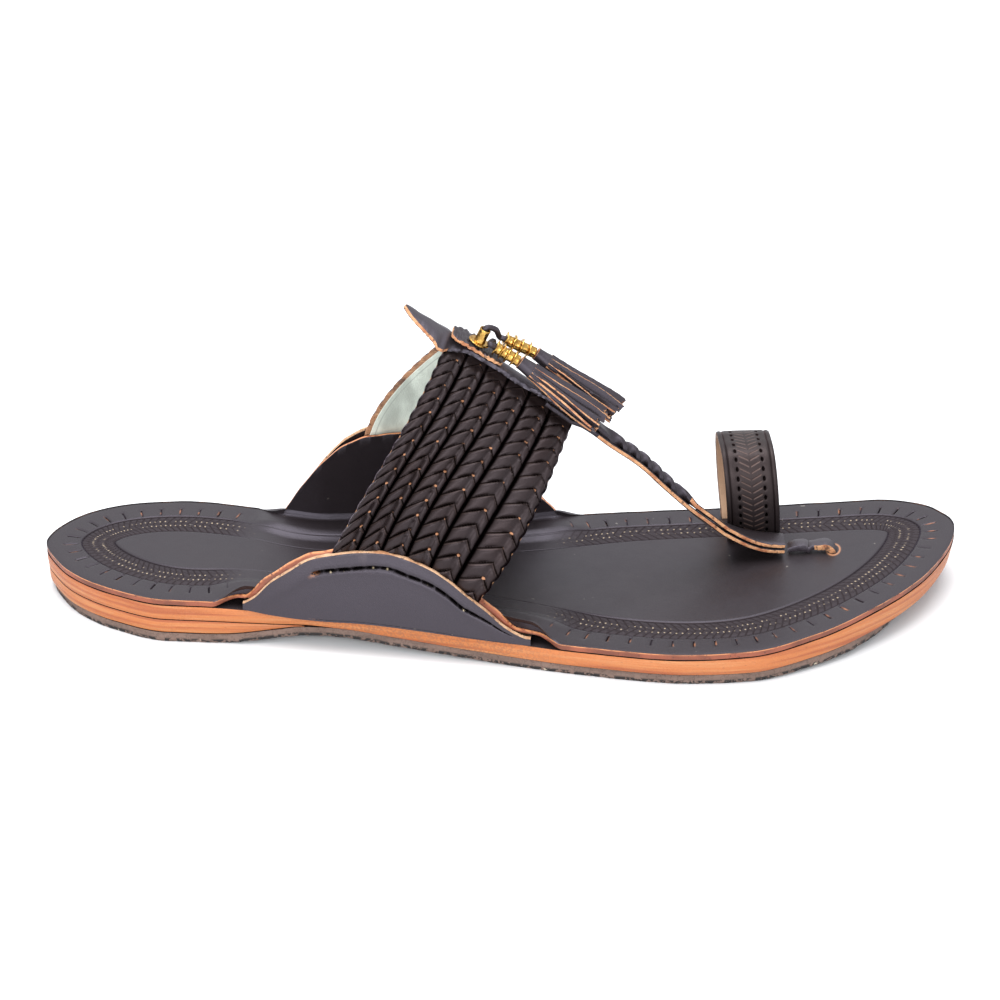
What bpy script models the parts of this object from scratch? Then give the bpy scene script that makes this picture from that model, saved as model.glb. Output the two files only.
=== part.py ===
"""A right kolhapuri sandal: layered leather sole, braided instep band, toe strap, toe ring and tassels.

Metres. +X runs from heel to toe, +Y to the inner side of the foot and +Z up. The origin is on the
floor under the middle of the heel seat.
"""

import bisect
import math

import bmesh
import bpy
from mathutils import Vector

# Driving sizes of the sole
LENGTH = 0.2705
HEEL_BACK = 0.0355  # from the origin back to the end of the heel
HEEL_WIDTH = 0.0633
BALL_WIDTH = 0.092
OUTSOLE = 0.0028
HEEL_LIFT = 0.0041
MIDSOLE = 0.0046
INSOLE = 0.0020
ARCH_RISE = 0.0030
TOE_SPRING = 0.0052
SIDE_TAPER = 0.0004  # how far each leather layer is pared back at its underside, along the sides
HEEL_TAPER = 0.0003  # the same at the back of the heel
TOE_TAPER = 0.0012  # the same at the toe
OUTSOLE_INSET = 0.0008
OUTSOLE_HEEL_INSET = 0.0018
OUTSOLE_TOE_INSET = 0.0070

# Driving sizes of the upper
INSTEP_HEIGHT = 0.0836  # underside of the band's ridge at its rear edge, above the floor
UPPER_WALL = 0.0020
STRIP_RAISE = 0.0014  # how far a braided strip stands above the wall
STRIPS = 6
EAR = 0.0016
OUTER_EAR_HEIGHT = 0.0220
INNER_EAR_HEIGHT = 0.0376
EAR_FLANGE = 0.0095
STRAP = 0.0013
STRAP_WIDTH = 0.0080
STRAP_SUNK = 0.0005  # how deep the lower layer of the toe strap is pressed into the band
LAYER_GAP = 0.0005  # between the two layers of the toe strap
LEAF_WIDTH = 0.0148
RUFFLE_WIDTH = 0.0090
RUFFLE = 0.0011
RING_WIDTH = 0.0272
RING_HEIGHT = 0.0303  # above the insole
RING_BAND = 0.0158
RING_WALL = 0.0020
RING_LEAN = 0.0024  # how far the ring's top lies behind its feet
SLOT_DEPTH = 0.0016  # how far the ring's feet and the lace's end go into the insole
LACE = 0.0018
TWIST_WIDTH = 0.0027
TWIST_THICKNESS = 0.0017
ANCHOR_WIDTH = 0.0046
ANCHOR = 0.0014
EYELET_BORE = 0.0026
EYELET_BARREL = 0.0033
EYELET_FLANGE = 0.0064
EYELET_RIM = 0.0004
EYELET_LENGTH = 0.0046
BEAD_FLANGE = 0.0050
BEADS = 4
TASSEL_LENGTH = 0.0295
TASSEL_NECK = 0.0042
TASSEL_END = 0.0072
TASSEL_STRIPS = 7
GAP = 0.0003  # clearance between pieces that meet

OUTER, INNER = -1, 1  # the side of the little toe, and the side of the big toe

# Outline of the sole: share of the length, then how far the outer and the inner edge lie from the
# middle line, as shares of the width named last
OUTLINE = [
    (0.000, -0.047, 0.047, "heel"),
    (0.010, 0.084, 0.199, "heel"),
    (0.040, 0.264, 0.357, "heel"),
    (0.090, 0.409, 0.460, "heel"),
    (0.150, 0.494, 0.496, "heel"),
    (0.220, 0.497, 0.458, "heel"),
    (0.300, 0.476, 0.430, "heel"),
    (0.400, 0.366, 0.315, "ball"),
    (0.500, 0.412, 0.383, "ball"),
    (0.600, 0.468, 0.439, "ball"),
    (0.700, 0.501, 0.485, "ball"),
    (0.780, 0.474, 0.511, "ball"),
    (0.850, 0.370, 0.525, "ball"),
    (0.910, 0.223, 0.523, "ball"),
    (0.960, 0.050, 0.478, "ball"),
    (0.990, -0.136, 0.386, "ball"),
    (1.000, -0.293, 0.293, "ball"),
]

# Side view of the sole: share of the length, share of the arch's rise, of the toe spring, of the heel
# lift's thickness and of the midsole's thickness
PROFILE = [
    (0.000, 0.00, 0.00, 1.00, 1.00),
    (0.185, 0.00, 0.00, 1.00, 1.00),
    (0.210, 0.06, 0.00, 0.95, 0.98),
    (0.235, 0.26, 0.00, 0.76, 0.92),
    (0.264, 0.58, 0.00, 0.42, 0.80),
    (0.298, 0.92, 0.00, 0.10, 0.74),
    (0.340, 1.00, 0.00, 0.00, 0.86),
    (0.385, 0.78, 0.00, 0.00, 1.00),
    (0.430, 0.50, 0.00, 0.00, 1.04),
    (0.485, 0.20, 0.00, 0.00, 1.02),
    (0.540, 0.03, 0.00, 0.00, 1.00),
    (0.585, 0.00, 0.00, 0.00, 1.00),
    (0.690, 0.00, 0.00, 0.00, 1.02),
    (0.760, 0.00, 0.02, 0.00, 1.08),
    (0.850, 0.00, 0.22, 0.00, 1.19),
    (0.930, 0.00, 0.58, 0.00, 1.29),
    (1.000, 0.00, 1.00, 0.00, 1.29),
]
LIFT_END = 0.298

# Ears: share of the ear's length, then shares of the outer and of the inner ear's height
EAR_SHAPE = [
    (0.000, 0.08, 0.08),
    (0.040, 0.20, 0.225),
    (0.095, 0.45, 0.44),
    (0.150, 0.62, 0.63),
    (0.240, 0.85, 0.85),
    (0.320, 0.93, 0.94),
    (0.410, 0.98, 0.97),
    (0.500, 1.00, 1.00),
    (0.570, 0.96, 0.99),
    (0.650, 0.87, 0.93),
    (0.710, 0.76, 0.84),
    (0.780, 0.58, 0.70),
    (0.850, 0.40, 0.53),
    (0.910, 0.22, 0.36),
    (0.970, 0.11, 0.18),
    (1.000, 0.08, 0.08),
]
# Where each ear starts and ends, as shares of the length
EAR_SPAN = {OUTER: (0.233, 0.545), INNER: (0.256, 0.556)}
# An ear leans in by this much of its height, and by this much more where it is as high as the inner one
LEAN, LEAN_MORE = 0.08, 0.15

# The band: share of its depth from its rear edge, then shares of the length where its inner face sits
# in each ear, leaves it, and crosses the ridge, and the ridge's height as a share of the instep's
BAND = [
    (0.00, 0.301, 0.334, 0.312, 0.352, 0.443, 1.000),
    (0.50, 0.388, 0.413, 0.395, 0.432, 0.508, 0.868),
    (1.00, 0.473, 0.491, 0.480, 0.508, 0.577, 0.702),
]
DEPTH, TUCK_OUT, LEAVE_OUT, TUCK_IN, LEAVE_IN, RIDGE_AT, RIDGE_HIGH = range(7)
RIDGE_SIDE = (0.022, 0.030)  # the ridge's offset to the inner side at both edges, as shares of the ball
TUCK_HEIGHT = 0.0047
EXIT_ABOVE = 0.0010
PEAK = {OUTER: (0.30, 1.0, 0.62), INNER: (0.37, 1.0, 0.62)}  # the way that each half reaches the ridge
REACH = 0.33  # how far the curve's ends hold their direction

# The free part of the toe strap, the middle of its lower layer's underside: share of the length, share
# of the ball's width to the inner side, share of the instep's height, share of the strap's width, roll
TOE_STRAP = [
    (0.590, 0.033, 0.703, 0.92, 0),
    (0.619, 0.044, 0.621, 0.88, -5),
    (0.649, 0.060, 0.537, 0.86, -10),
    (0.678, 0.077, 0.434, 0.86, -13),
    (0.712, 0.100, 0.322, 0.92, -13),
    (0.741, 0.130, 0.235, 1.00, -10),
    (0.773, 0.158, 0.176, 1.05, -6),
    (0.792, 0.168, 0.161, 1.02, -2),
    (0.811, 0.175, 0.155, 0.92, 0),
]
# The leaf behind the band: share of the length, share of the ball's width, rise above the line of the
# ridge as a share of the instep's height, share of the leaf's width, droop of its sides as a share of it
LEAF = [
    (0.3990, 0.010, 0.004, 0.04, 0.00),
    (0.4040, 0.012, 0.002, 0.26, 0.02),
    (0.4140, 0.014, 0.000, 0.46, 0.06),
    (0.4280, 0.018, 0.002, 0.76, 0.12),
    (0.4400, 0.022, 0.000, 1.00, 0.17),
    (0.4500, 0.022, 0.000, 0.94, 0.15),
]

# The fold between the insole and its wings
FOLD = 0.0031  # outside radius
RAMP = 0.0100  # how far the insole rises towards the fold
RAMP_FLAT = 0.0035  # its last part, level beside the fold
WING_GROW = 0.010  # how far a wing runs past its ear, as a share of the length
LEAST_WING = 0.0009
EDGE_STEPS = (0.0130, 0.0075, 0.0052, 0.0040, 0.0027, 0.0014, 0.0)  # the insole's points in from its edge

# How finely the pieces are drawn
SOLE_STATIONS = 46
EAR_STATIONS = 19
ARCH_STEPS = 9
TWIST_STEPS = 30
ROUND_STEPS = 12

# Cross-section of a braided strip: places across it, their heights, and how far the wall thins between
STRIP_PARTS = (0.0, 0.22, 0.5, 0.78)
STRIP_HEIGHTS = (0.0, 0.85, 1.0, 0.85)
GROOVE = 0.0006

# A strap's line has rows of share of the length, then Y, Z, width and droop in metres and roll in degrees
ON_Y, ON_Z, WIDE, DROOP, ROLL = range(1, 6)
JOINED = (0.550, 0.564, 0.578)  # shares of the length where the lower layer lies in the band
COVERED = (0.472, 0.500, 0.528)  # and where the top layer lies on the ridge
RIDGE_DROOP = 0.0006
TWIST_SPAN = (0.600, 0.712)
TWIST_OFFSET = 0.0008  # to the outer side
HALF_TURNS = 6  # an even number, or the faces end upside down
RUFFLE_SPAN = (0.447, 0.500)

RING_AT, RING_SIDE = 0.774, 0.363  # the ring's middle, as shares of the length and the ball's width
RING_TURN = 8  # degrees that the ring is turned, so that the big toe points inwards
RING_SHAPE = [
    # shares of half the ring's width and of its height, from a foot to the top
    (0.64, 0.00),
    (0.83, 0.14),
    (0.96, 0.32),
    (1.00, 0.50),
    (0.96, 0.68),
    (0.84, 0.83),
    (0.60, 0.95),
    (0.30, 0.995),
    (0.00, 1.00),
]

ANCHOR_LINE = [
    # share of the length, height above the insole in shares of the lace's thickness
    (0.8190, 0.10),
    (0.8265, 0.62),
    (0.8385, 0.24),
    (0.8500, 0.70),
    (0.8590, 0.45),
    (0.8640, -1.05),
]
ANCHOR_SIDE = 0.186

# The two bead strings: shares of the length, of the ball's width and of the instep's height where the
# first bead sits, where the tassel starts and where it ends
STRINGS = {
    "outer": ((0.4975, -0.016, 1.011), (0.5230, -0.022, 0.962), (0.6120, -0.038, 0.747)),
    "inner": ((0.5062, 0.046, 1.010), (0.5387, 0.052, 0.957), (0.6276, 0.044, 0.745)),
}

EYELET_AT, EYELET_SIDE = 0.4725, -0.0006
EYELET_WAY = (0.42, -0.02, 0.90)  # the way that the eyelet on the ridge points
OUTER_LACE_AT = 0.4862  # where the outer lace comes up through the ridge


def smooth_through(rows, column, at):
    """A smooth curve through one column of a table, which never swings past its rows."""
    keys = [row[0] for row in rows]
    values = [row[column] for row in rows]
    at = min(max(at, keys[0]), keys[-1])
    right = min(max(bisect.bisect_right(keys, at), 1), len(keys) - 1)
    steps = [(values[i + 1] - values[i]) / (keys[i + 1] - keys[i]) for i in range(len(keys) - 1)]

    def slope(i):
        if i in (0, len(steps)):
            return steps[min(i, len(steps) - 1)]
        before, after = steps[i - 1], steps[i]
        return 0.0 if before * after <= 0 else 2 * before * after / (before + after)

    width = keys[right] - keys[right - 1]
    t = (at - keys[right - 1]) / width
    return (
        values[right - 1] * (2 * t**3 - 3 * t**2 + 1)
        + values[right] * (3 * t**2 - 2 * t**3)
        + slope(right - 1) * width * (t**3 - 2 * t**2 + t)
        + slope(right) * width * (t**3 - t**2)
    )


def mix(a, b, t):
    return a + (b - a) * t


def ease(low, high, value):
    """0 below low, 1 above high, and a soft step between them."""
    t = min(max((value - low) / (high - low), 0.0), 1.0)
    return t * t * (3 - 2 * t)


def along(share):
    """The X of a share of the length, counted from the heel's end."""
    return LENGTH * share - HEEL_BACK


def share_at(x):
    return (x + HEEL_BACK) / LENGTH


# The outline's rows at even turns round the ends, which rounds the heel and the toe
WIDTHS = {"heel": HEEL_WIDTH, "ball": BALL_WIDTH}
EDGES = [
    (math.acos(1 - 2 * share), -out * WIDTHS[part], inn * WIDTHS[part]) for share, out, inn, part in OUTLINE
]


def edge(share, side):
    """The Y of the sole's edge."""
    return smooth_through(EDGES, 1 if side == OUTER else 2, math.acos(1 - 2 * min(max(share, 0.0), 1.0)))


def ground(share):
    """The underside of the outsole."""
    return ARCH_RISE * smooth_through(PROFILE, 1, share) + TOE_SPRING * smooth_through(PROFILE, 2, share)


def lift_top(share):
    """The top of the heel lift, which runs out under the arch."""
    return ground(share) + OUTSOLE + GAP + HEEL_LIFT * smooth_through(PROFILE, 3, share)


def midsole_bottom(share):
    return lift_top(share) + GAP * (1 - ease(LIFT_END, LIFT_END + 0.04, share))


def midsole_top(share):
    return midsole_bottom(share) + MIDSOLE * smooth_through(PROFILE, 4, share)


def seat(share):
    """The underside of the insole where nothing lies under its edge."""
    return midsole_top(share) + GAP


def stations(first, last, count):
    """Shares of the length that crowd together at both round ends of the sole."""
    turns = [math.pi * mix(0.035, 0.965, i / (count - 1)) for i in range(count)]
    return [mix(first, last, (1 - math.cos(turn)) / 2) for turn in turns]


# Making meshes


def material(name, colour, roughness, metallic=0.0):
    made = bpy.data.materials.new(name)
    made.use_nodes = True
    shader = made.node_tree.nodes["Principled BSDF"]
    shader.inputs["Base Color"].default_value = (*colour, 1)
    shader.inputs["Roughness"].default_value = roughness
    shader.inputs["Metallic"].default_value = metallic
    return made


def add(name, mesh, finish, collection):
    piece = bpy.data.objects.new(name, mesh)
    mesh.materials.append(finish)
    collection.objects.link(piece)
    return piece


def loft(name, rings):
    """A closed solid through rings of as many points each, with a flat face at both ends."""
    shape = bmesh.new()
    loops = [[shape.verts.new(point) for point in ring] for ring in rings]
    for one, other in zip(loops, loops[1:]):
        for i in range(len(one)):
            j = (i + 1) % len(one)
            shape.faces.new((one[i], one[j], other[j], other[i]))
    shape.faces.new(loops[0][::-1])
    shape.faces.new(loops[-1])
    if shape.calc_volume(signed=True) < 0:
        bmesh.ops.reverse_faces(shape, faces=shape.faces)
    mesh = bpy.data.meshes.new(name)
    shape.to_mesh(mesh)
    shape.free()
    return mesh


def surface(name, rows):
    """An open surface through rows of points: its front looks up where a row runs to +Y, the rows to +X."""
    shape = bmesh.new()
    grid = [[shape.verts.new(point) for point in row] for row in rows]
    for one, other in zip(grid, grid[1:]):
        for i in range(len(one) - 1):
            shape.faces.new((one[i], other[i], other[i + 1], one[i + 1]))
    mesh = bpy.data.meshes.new(name)
    shape.to_mesh(mesh)
    shape.free()
    return mesh


def thicken(piece, thickness, group=None):
    """A wall on the front side of an open surface, thinner where the group's weight is below 1."""
    wall = piece.modifiers.new("Wall", "SOLIDIFY")
    wall.thickness = thickness
    wall.offset = 1
    if group:
        wall.vertex_group = group.name
    else:
        wall.use_even_offset = True
    return wall


def weigh(piece, name, weights):
    group = piece.vertex_groups.new(name=name)
    for index, weight in enumerate(weights):
        group.add([index], weight, "REPLACE")
    return group


# Sole


def rim(t, side_inset, heel_inset, toe_inset):
    """A layer's edge at station t: its X, and the Y of the outer and the inner side."""
    x = along(t) + heel_inset * (1 - ease(0, 0.12, t)) - toe_inset * ease(0.88, 1, t)
    return x, edge(t, OUTER) + side_inset, edge(t, INNER) - side_inset


def slab(name, shares, upper_insets, lower_insets, top, bottom):
    """A layer of the sole between two heights, pared back from its upper to its lower edge."""
    rings = []
    for t in shares:
        x, out, inn = rim(t, *upper_insets)
        low_x, low_out, low_inn = rim(t, *lower_insets)
        high, low = top(share_at(x)), bottom(share_at(low_x))
        rings.append([(x, out, high), (low_x, low_out, low), (low_x, low_inn, low), (x, inn, high)])
    return loft(name, rings)


def pared(steps):
    """Insets at the sides, the heel and the toe after paring back that many layers."""
    return (SIDE_TAPER * steps, HEEL_TAPER * steps, TOE_TAPER * steps)


OUTSOLE_INSETS = (OUTSOLE_INSET, OUTSOLE_HEEL_INSET, OUTSOLE_TOE_INSET)


def outsole(finish, collection):
    """The rubber sheet under everything, set back at the heel and the toe."""
    mesh = slab(
        "outsole",
        stations(0.0, 1.0, SOLE_STATIONS),
        OUTSOLE_INSETS,
        OUTSOLE_INSETS,
        lambda share: ground(share) + OUTSOLE,
        ground,
    )
    return add("outsole", mesh, finish, collection)


def heel_lift(finish, collection):
    """The leather wedge between outsole and midsole, from the heel's end to the arch."""
    shares = [t for t in stations(0.0, 1.0, SOLE_STATIONS) if t < LIFT_END - 0.005] + [LIFT_END]
    mesh = slab(
        "heel_lift", shares, pared(1), pared(2), lift_top, lambda share: ground(share) + OUTSOLE + GAP
    )
    return add("heel_lift", mesh, finish, collection)


def midsole(finish, collection):
    mesh = slab(
        "midsole", stations(0.0, 1.0, SOLE_STATIONS), pared(0), pared(1), midsole_top, midsole_bottom
    )
    return add("midsole", mesh, finish, collection)


# Ears and insole


def ear_height(side, share, grow=0.0):
    """How far an ear stands above the sole's edge, with its ends moved out by a share of the length."""
    start, end = EAR_SPAN[side]
    t = (share - start + grow) / (end - start + 2 * grow)
    full = OUTER_EAR_HEIGHT if side == OUTER else INNER_EAR_HEIGHT
    return full * smooth_through(EAR_SHAPE, 1 if side == OUTER else 2, t)


def ear_line(side, share):
    """The Y of an ear's outer face at the sole: a straight line between the ear's two ends."""
    start, end = EAR_SPAN[side]
    t = (share - start) / (end - start)
    return mix(edge(start, side), edge(end, side), t)


def side_point(side, share, height, inset):
    """A point on a face that runs up beside the foot, inset from the ear's outer face."""
    lean = height * (LEAN + LEAN_MORE * height / INNER_EAR_HEIGHT)
    y = ear_line(side, share) - side * (inset + lean)
    return Vector((along(share), y, seat(share) + height))


def ear(name, side, finish, collection):
    """The half-moon flap outside the band, with a flange that the insole covers."""
    start, end = EAR_SPAN[side]
    rings = []
    for i in range(EAR_STATIONS):
        even = i / (EAR_STATIONS - 1)
        share = mix(start, end, (even + (1 - math.cos(math.pi * even)) / 2) / 2)
        high = max(ear_height(side, share), EAR * 1.3)
        flange = Vector((0, -side * EAR_FLANGE, 0))
        corner = side_point(side, share, 0, 0)
        rings.append(
            [
                corner + flange,
                corner,
                side_point(side, share, high * 0.35, 0),
                side_point(side, share, high * 0.7, 0),
                side_point(side, share, high, 0),
                side_point(side, share, high, EAR),
                side_point(side, share, mix(EAR, high, 0.6), EAR),
                side_point(side, share, mix(EAR, high, 0.25), EAR),
                side_point(side, share, EAR, EAR),
                corner + flange + Vector((0, 0, EAR)),
            ]
        )
    return add(name, loft(name, rings), finish, collection)


def wing_inset(side, share):
    """From the ear's outer face to the wing's, with room for the band where it sits between them."""
    start, end = EAR_SPAN[side]
    rear = BAND[0][TUCK_OUT if side == OUTER else TUCK_IN]
    front = BAND[-1][LEAVE_OUT if side == OUTER else LEAVE_IN]
    held = ease(start - 0.01, rear - 0.008, share) * (1 - ease(front + 0.006, end + 0.008, share))
    return EAR + GAP + (UPPER_WALL + GAP) * held


def insole_half(side, share):
    """The underside of the insole from near the middle out to its edge, on one side."""
    start, end = EAR_SPAN[side]
    folded = ease(start - 0.020, start + 0.002, share) * (1 - ease(end - 0.002, end + 0.034, share))
    x, low = along(share), seat(share)
    room = (edge(share, INNER) - edge(share, OUTER)) * 0.42
    narrow = min(1.0, room / EDGE_STEPS[0])
    flat = [Vector((x, edge(share, side) - side * step * narrow, low)) for step in EDGE_STEPS]
    lift = EAR + GAP
    inset = wing_inset(side, share)
    wall = ear_line(side, share) - side * inset
    high = max(ear_height(side, share, WING_GROW), lift + LEAST_WING)
    turn = min(FOLD, (high - lift) * 0.6)
    up = low + lift
    folds = [
        Vector((x, wall - side * FOLD, up)),
        Vector((x, wall, up)),
        side_point(side, share, lift + turn, inset),
    ]
    turned = [
        Vector((x, wall - side * (FOLD + RAMP), low)),
        Vector((x, wall - side * (FOLD + RAMP_FLAT), up)),
        folds[0],
        folds[0] * 0.25 + folds[1] * 0.5 + folds[2] * 0.25,
        folds[2],
        side_point(side, share, mix(lift + turn, high, 0.5), inset),
        side_point(side, share, high, inset),
    ]
    return [one.lerp(other, folded) for one, other in zip(flat, turned)]


def insole(finish, collection):
    """The top sheet, with a wing turned up beside the foot on each side."""
    rows = []
    for share in INSOLE_STATIONS:
        outer, inner = insole_half(OUTER, share), insole_half(INNER, share)
        middle = Vector((along(share), (outer[0].y + inner[0].y) / 2, seat(share)))
        rows.append(outer[::-1] + [middle] + inner)
    piece = add("insole", surface("insole", rows), finish, collection)
    thicken(piece, INSOLE)
    return piece


def insole_stations():
    """Close together at the round ends and where the wings start and stop."""
    ends = [0.0015, 0.006, 0.014, 0.027, 0.045, 0.07, 0.10, 0.135, 0.175, 0.205]
    wings = [0.217, 0.226, 0.235, 0.244, 0.256, 0.270, 0.288, 0.310, 0.335, 0.360, 0.385, 0.410, 0.435]
    wings += [0.460, 0.480, 0.500, 0.518, 0.534, 0.550, 0.566, 0.585]
    fore = [0.62, 0.66, 0.70, 0.74, 0.78, 0.82, 0.855, 0.89, 0.92, 0.945, 0.965, 0.98, 0.991, 0.998]
    return ends + wings + fore


INSOLE_STATIONS = insole_stations()

# Upper


def band_line(v):
    """The band's inner face from the outer ear over the ridge to the inner ear, at depth v."""
    ridge = Vector(
        (
            along(smooth_through(BAND, RIDGE_AT, v)),
            BALL_WIDTH * mix(*RIDGE_SIDE, v),
            INSTEP_HEIGHT * smooth_through(BAND, RIDGE_HIGH, v),
        )
    )
    inset = EAR + GAP + UPPER_WALL
    halves = []
    for side, tuck, leave in ((OUTER, TUCK_OUT, LEAVE_OUT), (INNER, TUCK_IN, LEAVE_IN)):
        tuck, leave = smooth_through(BAND, tuck, v), smooth_through(BAND, leave, v)
        top = ear_height(side, leave) + EXIT_ABOVE
        low = min(TUCK_HEIGHT, top * 0.5)
        held = [side_point(side, mix(tuck, leave, t), mix(low, top, t), inset) for t in (0.0, 0.5, 1.0)]
        start = held[-1]
        reach = (ridge - start).length * REACH
        rising = (held[-1] - held[-2]).normalized()
        ahead, across, up = PEAK[side]
        arriving = Vector((ahead, -side * across, up)).normalized()
        points = (start, start + rising * reach, ridge - arriving * reach, ridge)
        free = [bezier(points, (i + 1) / ARCH_STEPS) for i in range(ARCH_STEPS)]
        halves.append(held + free)
    return halves[0] + halves[1][-2::-1]


def bezier(points, t):
    a, b, c, d = points
    return a * (1 - t) ** 3 + b * 3 * t * (1 - t) ** 2 + c * 3 * t**2 * (1 - t) + d * t**3


def band_columns():
    """Depths of the band's lines and how far each is raised, strip by strip."""
    columns = []
    for strip in range(STRIPS):
        columns += [((strip + part) / STRIPS, high) for part, high in zip(STRIP_PARTS, STRIP_HEIGHTS)]
    return columns + [(1.0, 0.0)]


def crest(share):
    """The top of the band along the ridge, run on in a straight line past the band."""
    first, last = BAND[0], BAND[-1]
    rows = [(row[RIDGE_AT], row[RIDGE_HIGH]) for row in BAND]
    high = smooth_through(rows, 1, share)
    steep = (last[RIDGE_HIGH] - first[RIDGE_HIGH]) / (last[RIDGE_AT] - first[RIDGE_AT])
    high += steep * (min(share - first[RIDGE_AT], 0) + max(share - last[RIDGE_AT], 0))
    return INSTEP_HEIGHT * high + UPPER_WALL * math.sqrt(1 + (steep * INSTEP_HEIGHT / LENGTH) ** 2)


def ridge_side(share):
    first, last = BAND[0][RIDGE_AT], BAND[-1][RIDGE_AT]
    return BALL_WIDTH * mix(*RIDGE_SIDE, (share - first) / (last - first))


def lower_layer_rows():
    """The lower layer's line: pressed into the band's crest, then free down to the ring."""
    pressed = [(share, ridge_side(share), crest(share) - STRAP_SUNK, STRAP_WIDTH, 0, 0) for share in JOINED]
    free = [
        (share, BALL_WIDTH * side, INSTEP_HEIGHT * high, STRAP_WIDTH * wide, 0, roll)
        for share, side, high, wide, roll in TOE_STRAP
    ]
    return pressed + free


def top_layer_rows():
    """The top layer's line: the leaf, the ridge, then on the lower layer."""
    leaf = [
        (
            share,
            BALL_WIDTH * side,
            crest(share) + GAP * 1.5 + INSTEP_HEIGHT * rise,
            LEAF_WIDTH * wide,
            LEAF_WIDTH * droop,
            0,
        )
        for share, side, rise, wide, droop in LEAF
    ]
    ridge = [
        (share, ridge_side(share), crest(share) + GAP * 1.5, STRAP_WIDTH, RIDGE_DROOP, 0)
        for share in COVERED
    ]
    line = lower_layer_rows()
    free = []
    for row in line:
        middle, _, up = frame_on(line, row[0])
        above = middle + up * (STRAP + LAYER_GAP)
        free.append((share_at(above.x), above.y, above.z, row[WIDE], 0, row[ROLL]))
    return leaf + ridge + free


def frame_on(rows, share):
    """The middle, half-width and up vectors of a strap that follows a line's rows."""
    step = 0.002
    here, behind, ahead = [
        Vector((along(at), smooth_through(rows, ON_Y, at), smooth_through(rows, ON_Z, at)))
        for at in (share, max(share - step, rows[0][0]), min(share + step, rows[-1][0]))
    ]
    forward = (ahead - behind).normalized()
    across = Vector((0, 0, 1)).cross(forward).normalized()
    up = forward.cross(across)
    roll = math.radians(smooth_through(rows, ROLL, share))
    half = (across * math.cos(roll) + up * math.sin(roll)) * smooth_through(rows, WIDE, share) / 2
    return here, half, up * math.cos(roll) - across * math.sin(roll)


def strap_rings(rows, shares, low, high):
    """Cross-sections of a strap between two heights above its line, with sides that may droop."""
    rings = []
    for share in shares:
        middle, half, up = frame_on(rows, share)
        drop = up * smooth_through(rows, DROOP, share)
        under, over = middle + up * low, middle + up * high
        rings.append(
            [under - half - drop, under, under + half - drop, over + half - drop, over, over - half - drop]
        )
    return rings


def spread(first, last, count):
    return [mix(first, last, i / (count - 1)) for i in range(count)]


def upper(finish, collection, helpers):
    """The braided band, hollow underneath, joined to the lower layer of the toe strap."""
    columns = band_columns()
    lines = [band_line(v) for v, _ in columns]
    piece = add("upper", surface("upper", lines), finish, collection)
    weights = []
    full = UPPER_WALL + STRIP_RAISE
    rows = len(lines[0])
    for v, high in columns:
        for i in range(rows):
            held = min(i, rows - 1 - i) <= 2
            flat = held or i == rows // 2
            weights.append((UPPER_WALL + (0.0 if flat else STRIP_RAISE * high - GROOVE * (1 - high))) / full)
    thicken(piece, full, weigh(piece, "braid", weights))
    line = lower_layer_rows()
    rings = strap_rings(line, spread(line[0][0], line[-1][0], 15), 0, STRAP)
    lower = add("toe_strap_lower_layer", loft("toe_strap_lower_layer", rings), finish, helpers)
    lower.hide_render = True
    lower.display_type = "WIRE"
    join = piece.modifiers.new("Joined where they cross", "BOOLEAN")
    join.operation = "UNION"
    join.object = lower
    return piece


def twisted_rings():
    """The part of the top layer that is twisted round itself, on top of the lower layer."""
    line = lower_layer_rows()
    first, last = TWIST_SPAN
    rings = []
    for i in range(TWIST_STEPS + 1):
        t = i / TWIST_STEPS
        middle, half, up = frame_on(line, mix(first, last, t))
        across, flat = half.normalized(), 1 - ease(0, 0.10, t) * (1 - ease(0.90, 1, t))
        wide = mix(TWIST_WIDTH, half.length * 2, flat) / 2
        thick = mix(TWIST_THICKNESS, STRAP, flat) / 2
        high = STRAP + mix(GAP + TWIST_WIDTH / 2, LAYER_GAP + STRAP / 2, flat)
        centre = middle + up * high + across * -TWIST_OFFSET * (1 - flat)
        turn = math.pi * HALF_TURNS * ease(0.05, 0.95, t)
        ring = []
        for a, b in ((-wide, -thick), (0, -thick), (wide, -thick), (wide, thick), (0, thick), (-wide, thick)):
            ring.append(
                centre
                + across * (a * math.cos(turn) - b * math.sin(turn))
                + up * (a * math.sin(turn) + b * math.cos(turn))
            )
        rings.append(ring)
    return rings


def centre_strap(finish, collection):
    """The top layer: a pointed leaf, the ridge's cover, a twisted part and a flat end at the ring."""
    line = top_layer_rows()
    shares = spread(line[0][0], LEAF[-1][0], 8) + spread(0.460, TWIST_SPAN[0] - 0.004, 10)
    rings = strap_rings(line, shares, 0, STRAP)
    rings += twisted_rings()
    rings += strap_rings(line, spread(TWIST_SPAN[1] + 0.016, line[-1][0], 8), 0, STRAP)
    return add("centre_strap", loft("centre_strap", rings), finish, collection)


def ruffle(finish, collection):
    """The short pleated strip that lies on the ridge under the eyelet."""
    line = top_layer_rows()
    rings = []
    shares = spread(*RUFFLE_SPAN, 13)
    for i, share in enumerate(shares):
        middle, half, up = frame_on(line, share)
        wide = RUFFLE_WIDTH / 2 * (0.55 if i in (0, len(shares) - 1) else 1.0) * (1 + 0.08 * (-1) ** i)
        half = half.normalized() * wide
        low, high = STRAP + GAP, STRAP + GAP + RUFFLE
        edge_low = low + (0.0006 if i % 2 else 0.0)
        rings.append(
            [
                middle - half + up * edge_low,
                middle + up * low,
                middle + half + up * edge_low,
                middle + half + up * (edge_low + RUFFLE * 0.7),
                middle + up * high,
                middle - half + up * (edge_low + RUFFLE * 0.7),
            ]
        )
    return add("ruffled_strip", loft("ruffled_strip", rings), finish, collection)


# Toe ring and the lace in front of the toe strap


def insole_top(share):
    return seat(share) + INSOLE


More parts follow.
